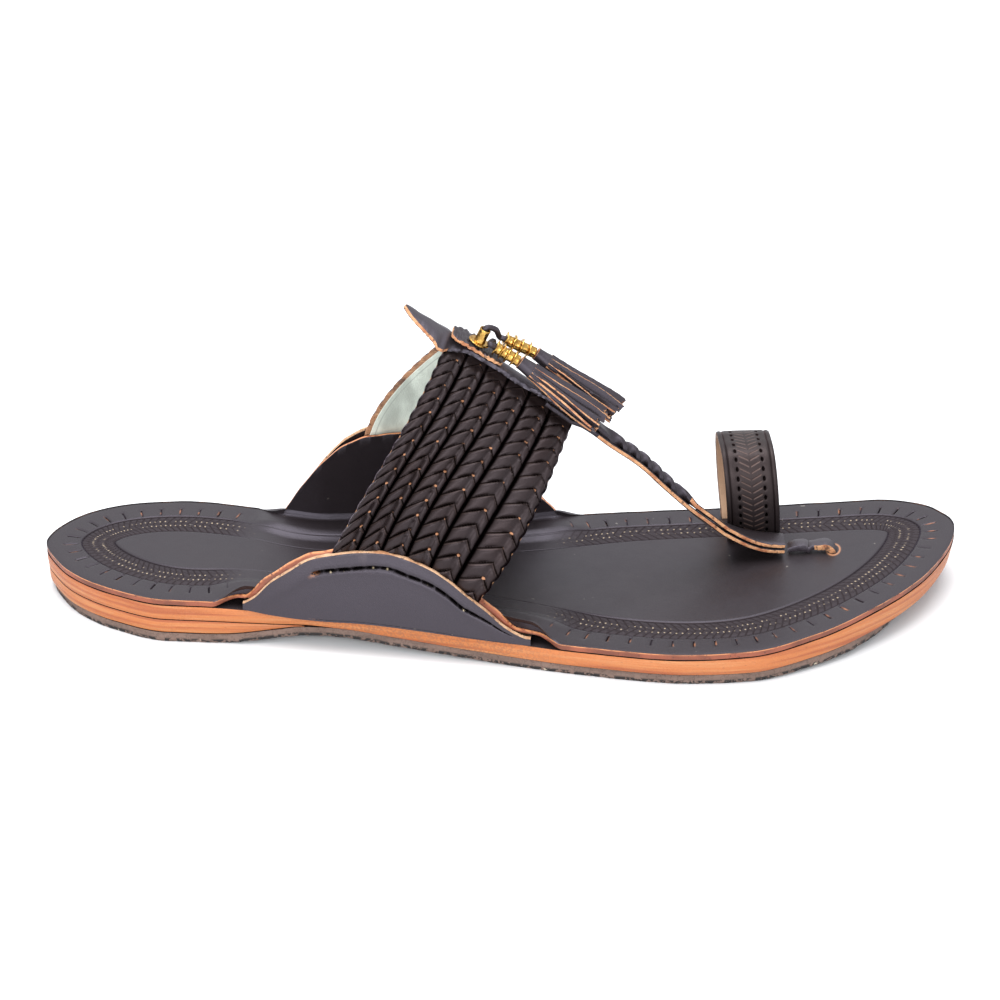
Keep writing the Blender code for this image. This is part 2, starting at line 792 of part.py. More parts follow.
def ring_point(ahead, side, height):
    """A point by its place ahead of the ring's middle and to the inner side of it, both turned with it."""
    turn = math.radians(RING_TURN)
    x = along(RING_AT) + ahead * math.cos(turn) - side * math.sin(turn)
    y = BALL_WIDTH * RING_SIDE + ahead * math.sin(turn) + side * math.cos(turn)
    return Vector((x, y, height))


def toe_ring(finish, collection):
    """A wide strap bent into a ring, with both feet in slots of the insole."""
    foot = insole_top(RING_AT)
    shares = [(-across, up) for across, up in RING_SHAPE] + RING_SHAPE[-2::-1]
    path = smooth_path([Vector((0, across * RING_WIDTH / 2, up * RING_HEIGHT)) for across, up in shares], 2)
    path = [Vector((0, path[0].y, -SLOT_DEPTH))] + path + [Vector((0, path[-1].y, -SLOT_DEPTH))]
    rows = []
    for point in path:
        back = RING_LEAN * point.z / RING_HEIGHT
        rows.append([ring_point(RING_BAND * (k / 4 - 0.5) - back, point.y, foot + point.z) for k in range(5)])
    piece = add("toe_ring", surface("toe_ring", rows), finish, collection)
    thicken(piece, RING_WALL)
    return piece


def ring_feet():
    """How far the middles of the ring's two feet lie to the inner side of its middle."""
    reach = RING_SHAPE[0][0] * RING_WIDTH / 2 - RING_WALL / 2
    return [-reach, reach]


def anchor_lace(finish, collection):
    """The thong that ties the toe strap's end down: two stitches and an end in its hole."""
    rings = []
    for i, (share, high) in enumerate(ANCHOR_LINE):
        steep = i == len(ANCHOR_LINE) - 1
        half = ANCHOR_WIDTH / 2 * (0.8 if i == 3 else 1.0)
        y = BALL_WIDTH * ANCHOR_SIDE
        low = insole_top(share) + ANCHOR * high + GAP * (0 if steep else 1)
        ahead = ANCHOR if steep else 0.0
        up = 0.0 if steep else ANCHOR
        x = along(share)
        rings.append(
            [
                (x, y - half, low),
                (x, y + half, low),
                (x + ahead, y + half, low + up),
                (x + ahead, y - half, low + up),
            ]
        )
    return add("anchor_lace", loft("anchor_lace", rings), finish, collection)


def cut_slots(sheet, finish, helpers):
    """Slots through the insole for the ring's feet and a hole for the lace's end."""
    turn = math.radians(RING_TURN)
    boxes = []
    for side in ring_feet():
        foot = ring_point(0, side, 0)
        boxes.append((foot.x, foot.y, RING_BAND + 3 * GAP, RING_WALL + 4 * GAP, turn))
    hole = along(ANCHOR_LINE[-1][0]) + ANCHOR / 2
    boxes.append((hole, BALL_WIDTH * ANCHOR_SIDE, ANCHOR * 2.6, ANCHOR_WIDTH + 2 * GAP, 0))
    for i, (x, y, length, width, turned_by) in enumerate(boxes):
        shape = bmesh.new()
        bmesh.ops.create_cube(shape, size=1)
        for vert in shape.verts:
            vert.co = Vector((vert.co.x * length, vert.co.y * width, vert.co.z * INSOLE * 6))
        mesh = bpy.data.meshes.new(f"insole_slot_{i + 1}")
        shape.to_mesh(mesh)
        shape.free()
        cutter = add(mesh.name, mesh, finish, helpers)
        cutter.location = (x, y, insole_top(share_at(x)))
        cutter.rotation_euler.z = turned_by
        cutter.hide_render = True
        cutter.display_type = "WIRE"
        cut = sheet.modifiers.new("Slot", "BOOLEAN")
        cut.operation = "DIFFERENCE"
        cut.object = cutter


# Eyelets, their laces and the tassels


def turned(name, profile):
    """A profile of (radius, height) pairs turned round Z."""
    shape = bmesh.new()
    verts = [shape.verts.new((radius, 0, height)) for radius, height in profile]
    for i in range(len(verts)):
        shape.edges.new((verts[i], verts[(i + 1) % len(verts)]))
    mesh = bpy.data.meshes.new(name)
    shape.to_mesh(mesh)
    shape.free()
    return mesh


def eyelet(name, length, flange, place, axis, finish, collection):
    """A brass eyelet with its flange at place and its barrel along axis."""
    bore, barrel = EYELET_BORE / 2, EYELET_BARREL / 2
    profile = [
        (bore, 0.0),
        (bore, length),
        (barrel, length),
        (barrel, EYELET_RIM * 1.6),
        (flange / 2, EYELET_RIM),
        (flange / 2, 0.0),
    ]
    piece = add(name, turned(name, profile), finish, collection)
    screw = piece.modifiers.new("Turn", "SCREW")
    screw.steps = screw.render_steps = ROUND_STEPS
    screw.use_merge_vertices = True
    screw.merge_threshold = 0.00005
    piece.location = place
    piece.rotation_mode = "QUATERNION"
    piece.rotation_quaternion = axis.to_track_quat("Z", "Y")
    return piece


def on_top_of_ridge(share, side, above):
    """A point above the centre strap's top face, offset to one side."""
    middle, half, up = frame_on(top_layer_rows(), share)
    return middle + half.normalized() * side + up * (STRAP + above)


def placed(shares):
    return Vector((along(shares[0]), BALL_WIDTH * shares[1], INSTEP_HEIGHT * shares[2]))


def tube(name, points, radius, finish, collection):
    """A lace along a smooth curve through its points, as a mesh with closed ends."""
    curve = bpy.data.curves.new(name, "CURVE")
    curve.dimensions = "3D"
    curve.bevel_depth = radius
    curve.bevel_resolution = 1
    curve.use_fill_caps = True
    spline = curve.splines.new("POLY")
    path = smooth_path(points, 3)
    spline.points.add(len(path) - 1)
    for place, point in zip(path, spline.points):
        point.co = (*place, 1)
    drawn = bpy.data.objects.new(name + "_curve", curve)
    collection.objects.link(drawn)
    bpy.context.view_layer.update()
    evaluated = drawn.evaluated_get(bpy.context.evaluated_depsgraph_get())
    mesh = bpy.data.meshes.new_from_object(evaluated)
    mesh.name = name
    mesh.materials.clear()
    bpy.data.objects.remove(drawn)
    shape = bmesh.new()
    shape.from_mesh(mesh)
    bmesh.ops.remove_doubles(shape, verts=shape.verts, dist=0.00001)
    bmesh.ops.recalc_face_normals(shape, faces=shape.faces)
    shape.to_mesh(mesh)
    shape.free()
    return add(name, mesh, finish, collection)


def smooth_path(points, between):
    """A Catmull-Rom curve through the points."""
    ends = [points[0] * 2 - points[1]] + list(points) + [points[-1] * 2 - points[-2]]
    path = []
    for a, b, c, d in zip(ends, ends[1:], ends[2:], ends[3:]):
        for k in range(between):
            t = k / between
            bend, twist = a * 2 - b * 5 + c * 4 - d, b * 3 - a - c * 3 + d
            path.append((b * 2 + (c - a) * t + bend * t**2 + twist * t**3) / 2)
    return path + [points[-1]]


def tassel(name, start, axis, finish, collection):
    """A bundle of leather strips: narrow at the neck, fanned out and uneven at the end."""
    across = axis.cross(Vector((0, 0, 1))).normalized()
    over = across.cross(axis)
    rings = []
    shape = ((0.0, 0.0), (0.03, 0.10), (0.20, 0.16), (0.45, 0.50), (0.75, 0.85), (1.0, 1.0))
    for t, fan in shape:
        radius = mix(TASSEL_NECK, TASSEL_END, fan) / 2
        ring = []
        for k in range(TASSEL_STRIPS * 2):
            angle = -math.pi * k / TASSEL_STRIPS + 0.5 * t
            deep = 1.0 if k % 2 == 0 else mix(0.95, 0.68, min(1.0, t * 2.5))
            uneven = TASSEL_LENGTH * 0.045 * math.sin(2.4 * k) * (1 if t == 1.0 else 0)
            ring.append(
                start
                + axis * (TASSEL_LENGTH * t + uneven)
                + (across * math.cos(angle) + over * math.sin(angle) * 0.9) * radius * deep
            )
        rings.append(ring)
    return add(name, loft(name, rings), finish, collection)


def trim(brass, leather, collection):
    """The eyelet on the ridge, both bead strings with their laces, and the tassels."""
    base = on_top_of_ridge(EYELET_AT, EYELET_SIDE, 3.5 * GAP + RUFFLE)
    way = Vector(EYELET_WAY).normalized()
    eyelet("centre_eyelet", EYELET_LENGTH, EYELET_FLANGE, base, way, brass, collection)
    for which, (first, neck, end) in STRINGS.items():
        start, neck, end = placed(first), placed(neck), placed(end)
        pitch = (neck - start) / BEADS
        run = pitch.normalized()
        for i in range(BEADS):
            place = start + pitch * i
            eyelet(f"{which}_bead_{i + 1}", pitch.length - GAP, BEAD_FLANGE, place, run, brass, collection)
        tassel(f"{which}_tassel", neck + run * GAP, (end - neck).normalized(), leather, collection)
        if which == "inner":
            top = base + way * EYELET_LENGTH * 1.1
            hump = (top + start) / 2 + Vector((0, 0, LACE * 0.7))
            path = [base + way * EYELET_LENGTH * 0.2, top, hump]
        else:
            low = on_top_of_ridge(OUTER_LACE_AT, 0, 3 * GAP + RUFFLE + LACE / 2)
            path = [low, low + Vector((0, -LACE * 0.25, LACE * 1.1))]
        path += [start - run * LACE, start, (start + neck) / 2, neck]
        tube(f"{which}_lace", path, LACE / 2, leather, collection)


def main():
    for piece in list(bpy.data.objects):
        bpy.data.objects.remove(piece)
    sandal = bpy.data.collections.new("kolhapuri_sandal")
    helpers = bpy.data.collections.new("helpers")
    for collection in (sandal, helpers):
        bpy.context.scene.collection.children.link(collection)
    dark = material("dark brown leather", (0.035, 0.022, 0.020), 0.45)
    tan = material("tan sole leather", (0.52, 0.25, 0.10), 0.6)
    rubber = material("grey brown rubber", (0.20, 0.16, 0.14), 0.8)
    brass = material("brass", (0.80, 0.55, 0.20), 0.25, 1.0)
    outsole(rubber, sandal)
    heel_lift(tan, sandal)
    midsole(tan, sandal)
    cut_slots(insole(dark, sandal), dark, helpers)
    ear("outer_ear", OUTER, dark, sandal)
    ear("inner_ear", INNER, dark, sandal)
    upper(dark, sandal, helpers)
    centre_strap(dark, sandal)
    ruffle(dark, sandal)
    toe_ring(dark, sandal)
    anchor_lace(dark, sandal)
    trim(brass, dark, sandal)


main()
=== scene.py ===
"""A right kolhapuri sandal: braided, tooled and edge-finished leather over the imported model.

Metres. +X runs from heel to toe, +Y to the inner side of the foot and +Z up. The first part repeats the
model's own tables, so that every piece lies where its solid is.
"""

import bisect
import functools
import math
from math import cos, pi, radians, sin
from types import SimpleNamespace

import bpy
import numpy as np
from bpy.props import FloatProperty, FloatVectorProperty, PointerProperty
from mathutils import Matrix, Vector, noise


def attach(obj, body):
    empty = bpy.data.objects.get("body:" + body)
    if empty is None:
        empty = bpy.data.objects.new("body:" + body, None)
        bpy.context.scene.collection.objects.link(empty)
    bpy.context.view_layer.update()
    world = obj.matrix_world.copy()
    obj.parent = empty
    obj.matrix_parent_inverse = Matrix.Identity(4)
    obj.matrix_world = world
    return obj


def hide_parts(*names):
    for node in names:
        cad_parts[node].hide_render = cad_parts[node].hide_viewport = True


bl_info = {
    "name": "Kolhapuri Sandal",
    "version": (1, 0, 0),
    "blender": (4, 5, 0),
    "location": "View3D > Sidebar > Sandal",
    "description": "Builds the finished pieces of a kolhapuri sandal over its packed model",
    "category": "Add Mesh",
}

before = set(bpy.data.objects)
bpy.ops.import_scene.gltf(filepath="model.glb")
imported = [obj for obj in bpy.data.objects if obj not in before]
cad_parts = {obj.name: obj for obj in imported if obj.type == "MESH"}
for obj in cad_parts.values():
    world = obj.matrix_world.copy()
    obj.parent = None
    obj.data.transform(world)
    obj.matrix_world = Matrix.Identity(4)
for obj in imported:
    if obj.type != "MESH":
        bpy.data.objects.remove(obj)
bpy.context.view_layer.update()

# Driving sizes of the sole
LENGTH = 0.2705
HEEL_BACK = 0.0355  # from the origin back to the end of the heel
HEEL_WIDTH = 0.0633
BALL_WIDTH = 0.092
OUTSOLE = 0.0028
HEEL_LIFT = 0.0041
MIDSOLE = 0.0046
INSOLE = 0.0020
ARCH_RISE = 0.0030
TOE_SPRING = 0.0052
SIDE_TAPER = 0.0004  # how far each leather layer is pared back at its underside, along the sides
HEEL_TAPER = 0.0003  # the same at the back of the heel
TOE_TAPER = 0.0012  # the same at the toe
OUTSOLE_INSET = 0.0008
OUTSOLE_HEEL_INSET = 0.0018
OUTSOLE_TOE_INSET = 0.0070

# Driving sizes of the upper
INSTEP_HEIGHT = 0.0836  # underside of the band's ridge at its rear edge, above the floor
UPPER_WALL = 0.0020
STRIP_RAISE = 0.0014  # how far a braided strip stands above the wall
STRIPS = 6
EAR = 0.0016
OUTER_EAR_HEIGHT = 0.0220
INNER_EAR_HEIGHT = 0.0376
EAR_FLANGE = 0.0095
STRAP = 0.0013
STRAP_WIDTH = 0.0080
STRAP_SUNK = 0.0005  # how deep the lower layer of the toe strap is pressed into the band
LAYER_GAP = 0.0005  # between the two layers of the toe strap
LEAF_WIDTH = 0.0148
RUFFLE_WIDTH = 0.0090
RUFFLE = 0.0011
RING_WIDTH = 0.0272
RING_HEIGHT = 0.0303  # above the insole
RING_BAND = 0.0158
RING_WALL = 0.0020
RING_LEAN = 0.0024  # how far the ring's top lies behind its feet
SLOT_DEPTH = 0.0016  # how far the ring's feet and the lace's end go into the insole
LACE = 0.0018
TWIST_WIDTH = 0.0027
TWIST_THICKNESS = 0.0017
ANCHOR_WIDTH = 0.0046
ANCHOR = 0.0014
EYELET_BORE = 0.0026
EYELET_BARREL = 0.0033
EYELET_FLANGE = 0.0064
EYELET_RIM = 0.0004
EYELET_LENGTH = 0.0046
BEAD_FLANGE = 0.0050
BEADS = 4
TASSEL_LENGTH = 0.0295
TASSEL_NECK = 0.0042
TASSEL_END = 0.0072
GAP = 0.0003  # clearance between pieces that meet

OUTER, INNER = -1, 1  # the side of the little toe, and the side of the big toe

# Outline of the sole: share of the length, then how far the outer and the inner edge lie from the
# middle line, as shares of the width named last
OUTLINE = [
    (0.000, -0.047, 0.047, "heel"),
    (0.010, 0.084, 0.199, "heel"),
    (0.040, 0.264, 0.357, "heel"),
    (0.090, 0.409, 0.460, "heel"),
    (0.150, 0.494, 0.496, "heel"),
    (0.220, 0.497, 0.458, "heel"),
    (0.300, 0.476, 0.430, "heel"),
    (0.400, 0.366, 0.315, "ball"),
    (0.500, 0.412, 0.383, "ball"),
    (0.600, 0.468, 0.439, "ball"),
    (0.700, 0.501, 0.485, "ball"),
    (0.780, 0.474, 0.511, "ball"),
    (0.850, 0.370, 0.525, "ball"),
    (0.910, 0.223, 0.523, "ball"),
    (0.960, 0.050, 0.478, "ball"),
    (0.990, -0.136, 0.386, "ball"),
    (1.000, -0.293, 0.293, "ball"),
]

# Side view of the sole: share of the length, share of the arch's rise, of the toe spring, of the heel
# lift's thickness and of the midsole's thickness
PROFILE = [
    (0.000, 0, 0, 1, 1),
    (0.185, 0, 0, 1, 1),
    (0.210, 0.06, 0, 0.95, 0.98),
    (0.235, 0.26, 0, 0.76, 0.92),
    (0.264, 0.58, 0, 0.42, 0.80),
    (0.298, 0.92, 0, 0.10, 0.74),
    (0.340, 1, 0, 0, 0.86),
    (0.385, 0.78, 0, 0, 1),
    (0.430, 0.50, 0, 0, 1.04),
    (0.485, 0.20, 0, 0, 1.02),
    (0.540, 0.03, 0, 0, 1),
    (0.585, 0, 0, 0, 1),
    (0.690, 0, 0, 0, 1.02),
    (0.760, 0, 0.02, 0, 1.08),
    (0.850, 0, 0.22, 0, 1.19),
    (0.930, 0, 0.58, 0, 1.29),
    (1.000, 0, 1, 0, 1.29),
]
LIFT_END = 0.298

# Ears: share of the ear's length, then shares of the outer and of the inner ear's height
EAR_SHAPE = [
    (0.000, 0.08, 0.08),
    (0.040, 0.20, 0.225),
    (0.095, 0.45, 0.44),
    (0.150, 0.62, 0.63),
    (0.240, 0.85, 0.85),
    (0.320, 0.93, 0.94),
    (0.410, 0.98, 0.97),
    (0.500, 1.00, 1.00),
    (0.570, 0.96, 0.99),
    (0.650, 0.87, 0.93),
    (0.710, 0.76, 0.84),
    (0.780, 0.58, 0.70),
    (0.850, 0.40, 0.53),
    (0.910, 0.22, 0.36),
    (0.970, 0.11, 0.18),
    (1.000, 0.08, 0.08),
]
# Where each ear starts and ends, as shares of the length
EAR_SPAN = {OUTER: (0.233, 0.545), INNER: (0.256, 0.556)}
# An ear leans in by this much of its height, and by this much more where it is as high as the inner one
LEAN, LEAN_MORE = 0.08, 0.15

# The band: share of its depth from its rear edge, then shares of the length where its inner face sits
# in each ear, leaves it, and crosses the ridge, and the ridge's height as a share of the instep's
BAND = [
    (0.00, 0.301, 0.334, 0.312, 0.352, 0.443, 1.000),
    (0.50, 0.388, 0.413, 0.395, 0.432, 0.508, 0.868),
    (1.00, 0.473, 0.491, 0.480, 0.508, 0.577, 0.702),
]
TUCK_OUT, LEAVE_OUT, TUCK_IN, LEAVE_IN, RIDGE_AT, RIDGE_HIGH = range(1, 7)
RIDGE_SIDE = (0.022, 0.030)  # the ridge's offset to the inner side at both edges, as shares of the ball
TUCK_HEIGHT = 0.0047
EXIT_ABOVE = 0.0010
PEAK = {OUTER: (0.30, 1.0, 0.62), INNER: (0.37, 1.0, 0.62)}  # the way that each half reaches the ridge
REACH = 0.33  # how far the curve's ends hold their direction

# The free part of the toe strap, the middle of its lower layer's underside: share of the length, share
# of the ball's width to the inner side, share of the instep's height, share of the strap's width, roll
TOE_STRAP = [
    (0.590, 0.033, 0.703, 0.92, 0),
    (0.619, 0.044, 0.621, 0.88, -5),
    (0.649, 0.060, 0.537, 0.86, -10),
    (0.678, 0.077, 0.434, 0.86, -13),
    (0.712, 0.100, 0.322, 0.92, -13),
    (0.741, 0.130, 0.235, 1.00, -10),
    (0.773, 0.158, 0.176, 1.05, -6),
    (0.792, 0.168, 0.161, 1.02, -2),
    (0.811, 0.175, 0.155, 0.92, 0),
]
# The leaf behind the band: share of the length, share of the ball's width, rise above the line of the
# ridge as a share of the instep's height, share of the leaf's width, droop of its sides as a share of it
LEAF = [
    (0.3990, 0.010, 0.004, 0.04, 0.00),
    (0.4040, 0.012, 0.002, 0.26, 0.02),
    (0.4140, 0.014, 0.000, 0.46, 0.06),
    (0.4280, 0.018, 0.002, 0.76, 0.12),
    (0.4400, 0.022, 0.000, 1.00, 0.17),
    (0.4500, 0.022, 0.000, 0.94, 0.15),
]

# The fold between the insole and its wings
FOLD = 0.0031  # outside radius
RAMP = 0.0100  # how far the insole rises towards the fold
RAMP_FLAT = 0.0035  # its last part, level beside the fold
WING_GROW = 0.010  # how far a wing runs past its ear, as a share of the length
LEAST_WING = 0.0009

# A strap's line has rows of share of the length, then Y, Z, width and droop in metres and roll in degrees
ON_Y, ON_Z, WIDE, DROOP, ROLL = range(1, 6)
JOINED = (0.550, 0.564, 0.578)  # shares of the length where the lower layer lies in the band
COVERED = (0.472, 0.500, 0.528)  # and where the top layer lies on the ridge
RIDGE_DROOP = 0.0006
TWIST_SPAN = (0.600, 0.712)
TWIST_OFFSET = 0.0008  # to the outer side
HALF_TURNS = 6  # an even number, or the faces end upside down
RUFFLE_SPAN = (0.447, 0.500)

RING_AT, RING_SIDE = 0.774, 0.363  # the ring's middle, as shares of the length and the ball's width
RING_TURN = 8  # degrees that the ring is turned, so that the big toe points inwards
RING_SHAPE = [
    # shares of half the ring's width and of its height, from a foot to the top
    (0.64, 0.00),
    (0.83, 0.14),
    (0.96, 0.32),
    (1.00, 0.50),
    (0.96, 0.68),
    (0.84, 0.83),
    (0.60, 0.95),
    (0.30, 0.995),
    (0.00, 1.00),
]

ANCHOR_SIDE = 0.186
ANCHOR_HOLE = 0.8640  # share of the length where the lace goes down into the insole

# The two bead strings: shares of the length, of the ball's width and of the instep's height where the
# first bead sits, where the tassel starts and where it ends
STRINGS = {
    "outer": ((0.4975, -0.016, 1.011), (0.5230, -0.022, 0.962), (0.6120, -0.038, 0.747)),
    "inner": ((0.5062, 0.046, 1.010), (0.5387, 0.052, 0.957), (0.6276, 0.044, 0.745)),
}

EYELET_AT, EYELET_SIDE = 0.4725, -0.0006
EYELET_WAY = (0.42, -0.02, 0.90)  # the way that the eyelet on the ridge points
OUTER_LACE_AT = 0.4862  # where the outer lace comes up through the ridge


def smooth_through(rows, column, at):
    """A smooth curve through one column of a table, which never swings past its rows."""
    keys = [row[0] for row in rows]
    values = [row[column] for row in rows]
    at = min(max(at, keys[0]), keys[-1])
    right = min(max(bisect.bisect_right(keys, at), 1), len(keys) - 1)
    steps = [(values[i + 1] - values[i]) / (keys[i + 1] - keys[i]) for i in range(len(keys) - 1)]

    def slope(i):
        if i in (0, len(steps)):
            return steps[min(i, len(steps) - 1)]
        before, after = steps[i - 1], steps[i]
        return 0.0 if before * after <= 0 else 2 * before * after / (before + after)

    width = keys[right] - keys[right - 1]
    t = (at - keys[right - 1]) / width
    return (
        values[right - 1] * (2 * t**3 - 3 * t**2 + 1)
        + values[right] * (3 * t**2 - 2 * t**3)
        + slope(right - 1) * width * (t**3 - 2 * t**2 + t)
        + slope(right) * width * (t**3 - t**2)
    )


def mix(a, b, t):
    return a + (b - a) * t


def ease(low, high, value):
    """0 below low, 1 above high, and a soft step between them."""
    t = min(max((value - low) / (high - low), 0.0), 1.0)
    return t * t * (3 - 2 * t)


def along(share):
    """The X of a share of the length, counted from the heel's end."""
    return LENGTH * share - HEEL_BACK


def share_at(x):
    return (x + HEEL_BACK) / LENGTH


# The outline's rows at even turns round the ends, which rounds the heel and the toe
WIDTHS = {"heel": HEEL_WIDTH, "ball": BALL_WIDTH}
EDGES = [
    (math.acos(1 - 2 * share), -out * WIDTHS[part], inn * WIDTHS[part]) for share, out, inn, part in OUTLINE
]


def edge(share, side):
    """The Y of the sole's edge."""
    return smooth_through(EDGES, 1 if side == OUTER else 2, math.acos(1 - 2 * min(max(share, 0.0), 1.0)))


def ground(share):
    """The underside of the outsole."""
    return ARCH_RISE * smooth_through(PROFILE, 1, share) + TOE_SPRING * smooth_through(PROFILE, 2, share)


def outsole_top(share):
    return ground(share) + OUTSOLE


def lift_bottom(share):
    return outsole_top(share) + GAP


def lift_top(share):
    """The top of the heel lift, which runs out under the arch."""
    return lift_bottom(share) + HEEL_LIFT * smooth_through(PROFILE, 3, share)


def midsole_bottom(share):
    return lift_top(share) + GAP * (1 - ease(LIFT_END, LIFT_END + 0.04, share))


def midsole_top(share):
    return midsole_bottom(share) + MIDSOLE * smooth_through(PROFILE, 4, share)


def seat(share):
    """The underside of the insole where nothing lies under its edge."""
    return midsole_top(share) + GAP


def rim(t, side_inset, heel_inset, toe_inset):
    """A layer's edge at station t: its X, and the Y of the outer and the inner side."""
    x = along(t) + heel_inset * (1 - ease(0, 0.12, t)) - toe_inset * ease(0.88, 1, t)
    return x, edge(t, OUTER) + side_inset, edge(t, INNER) - side_inset


def pared(steps):
    """Insets at the sides, the heel and the toe after paring back that many layers."""
    return (SIDE_TAPER * steps, HEEL_TAPER * steps, TOE_TAPER * steps)


OUTSOLE_INSETS = (OUTSOLE_INSET, OUTSOLE_HEEL_INSET, OUTSOLE_TOE_INSET)


def ear_height(side, share, grow=0.0):
    """How far an ear stands above the sole's edge, with its ends moved out by a share of the length."""
    start, end = EAR_SPAN[side]
    t = (share - start + grow) / (end - start + 2 * grow)
    full = OUTER_EAR_HEIGHT if side == OUTER else INNER_EAR_HEIGHT
    return full * smooth_through(EAR_SHAPE, 1 if side == OUTER else 2, t)


def ear_line(side, share):
    """The Y of an ear's outer face at the sole: a straight line between the ear's two ends."""
    start, end = EAR_SPAN[side]
    t = (share - start) / (end - start)
    return mix(edge(start, side), edge(end, side), t)


def side_point(side, share, height, inset):
    """A point on a face that runs up beside the foot, inset from the ear's outer face."""
    lean = height * (LEAN + LEAN_MORE * height / INNER_EAR_HEIGHT)
    y = ear_line(side, share) - side * (inset + lean)
    return Vector((along(share), y, seat(share) + height))


def wing_inset(side, share):
    """From the ear's outer face to the wing's, with room for the band where it sits between them."""
    start, end = EAR_SPAN[side]
    rear = BAND[0][TUCK_OUT if side == OUTER else TUCK_IN]
    front = BAND[-1][LEAVE_OUT if side == OUTER else LEAVE_IN]
    held = ease(start - 0.01, rear - 0.008, share) * (1 - ease(front + 0.006, end + 0.008, share))
    return EAR + GAP + (UPPER_WALL + GAP) * held


def bezier(points, t):
    a, b, c, d = points
    return a * (1 - t) ** 3 + b * 3 * t * (1 - t) ** 2 + c * 3 * t**2 * (1 - t) + d * t**3


def crest(share):
    """The top of the band along the ridge, run on in a straight line past the band."""
    first, last = BAND[0], BAND[-1]
    rows = [(row[RIDGE_AT], row[RIDGE_HIGH]) for row in BAND]
    high = smooth_through(rows, 1, share)
    steep = (last[RIDGE_HIGH] - first[RIDGE_HIGH]) / (last[RIDGE_AT] - first[RIDGE_AT])
    high += steep * (min(share - first[RIDGE_AT], 0) + max(share - last[RIDGE_AT], 0))
    return INSTEP_HEIGHT * high + UPPER_WALL * math.sqrt(1 + (steep * INSTEP_HEIGHT / LENGTH) ** 2)


def ridge_side(share):
    first, last = BAND[0][RIDGE_AT], BAND[-1][RIDGE_AT]
    return BALL_WIDTH * mix(*RIDGE_SIDE, (share - first) / (last - first))


def lower_layer_rows():
    """The lower layer's line: pressed into the band's crest, then free down to the ring."""
    pressed = [(share, ridge_side(share), crest(share) - STRAP_SUNK, STRAP_WIDTH, 0, 0) for share in JOINED]
    free = [
        (share, BALL_WIDTH * side, INSTEP_HEIGHT * high, STRAP_WIDTH * wide, 0, roll)
        for share, side, high, wide, roll in TOE_STRAP
    ]
    return pressed + free


def top_layer_rows():
    """The top layer's line: the leaf, the ridge, then on the lower layer."""
    leaf = [
        (share, BALL_WIDTH * side, crest(share) + GAP * 1.5 + INSTEP_HEIGHT * rise,
         LEAF_WIDTH * wide, LEAF_WIDTH * droop, 0)
        for share, side, rise, wide, droop in LEAF
    ]
    ridge = [
        (share, ridge_side(share), crest(share) + GAP * 1.5, STRAP_WIDTH, RIDGE_DROOP, 0)
        for share in COVERED
    ]
    line = lower_layer_rows()
    free = []
    for row in line:
        middle, _, up = frame_on(line, row[0])
        above = middle + up * (STRAP + LAYER_GAP)
        free.append((share_at(above.x), above.y, above.z, row[WIDE], 0, row[ROLL]))
    return leaf + ridge + free


def frame_on(rows, share):
    """The middle, half-width and up vectors of a strap that follows a line's rows."""
    step = 0.002
    here, behind, ahead = [
        Vector((along(at), smooth_through(rows, ON_Y, at), smooth_through(rows, ON_Z, at)))
        for at in (share, max(share - step, rows[0][0]), min(share + step, rows[-1][0]))
    ]
    forward = (ahead - behind).normalized()
    across = Vector((0, 0, 1)).cross(forward).normalized()
    up = forward.cross(across)
    roll = radians(smooth_through(rows, ROLL, share))
    half = (across * cos(roll) + up * sin(roll)) * smooth_through(rows, WIDE, share) / 2
    return here, half, up * cos(roll) - across * sin(roll)


def spread(first, last, count):
    return [mix(first, last, i / (count - 1)) for i in range(count)]


def insole_top(share):
    return seat(share) + INSOLE


def ring_point(ahead, side, height):
    """A point by its place ahead of the ring's middle and to the inner side of it, both turned with it."""
    turn = radians(RING_TURN)
    x = along(RING_AT) + ahead * cos(turn) - side * sin(turn)
    y = BALL_WIDTH * RING_SIDE + ahead * sin(turn) + side * cos(turn)
    return Vector((x, y, height))


def on_top_of_ridge(share, side, above):
    """A point above the centre strap's top face, offset to one side."""
    middle, half, up = frame_on(top_layer_rows(), share)
    return middle + half.normalized() * side + up * (STRAP + above)


def placed(shares):
    return Vector((along(shares[0]), BALL_WIDTH * shares[1], INSTEP_HEIGHT * shares[2]))


def smooth_path(points, between):
    """A Catmull-Rom curve through the points."""
    ends = [points[0] * 2 - points[1]] + list(points) + [points[-1] * 2 - points[-2]]
    path = []
    for a, b, c, d in zip(ends, ends[1:], ends[2:], ends[3:]):
        for k in range(between):
            t = k / between
            bend, twist = a * 2 - b * 5 + c * 4 - d, b * 3 - a - c * 3 + d
            path.append((b * 2 + (c - a) * t + bend * t**2 + twist * t**3) / 2)
    return path + [points[-1]]


def ahead_at(path, i):
    """The way that a path runs at its point i, not of unit length."""
    return path[min(i + 1, len(path) - 1)] - path[max(i - 1, 0)]


def walked(path):
    """The way along a path from its start to each of its points."""
    walk = [0.0]
    for one, other in zip(path, path[1:]):
        walk.append(walk[-1] + (other - one).length)
    return walk


# Settings


def size(name, default, description):
    return FloatProperty(name=name, default=default, description=description, unit="LENGTH", precision=5)


def colour(name, default, description):
    return FloatVectorProperty(
        name=name, default=default, description=description, subtype="COLOR", size=3, min=0, max=1
    )


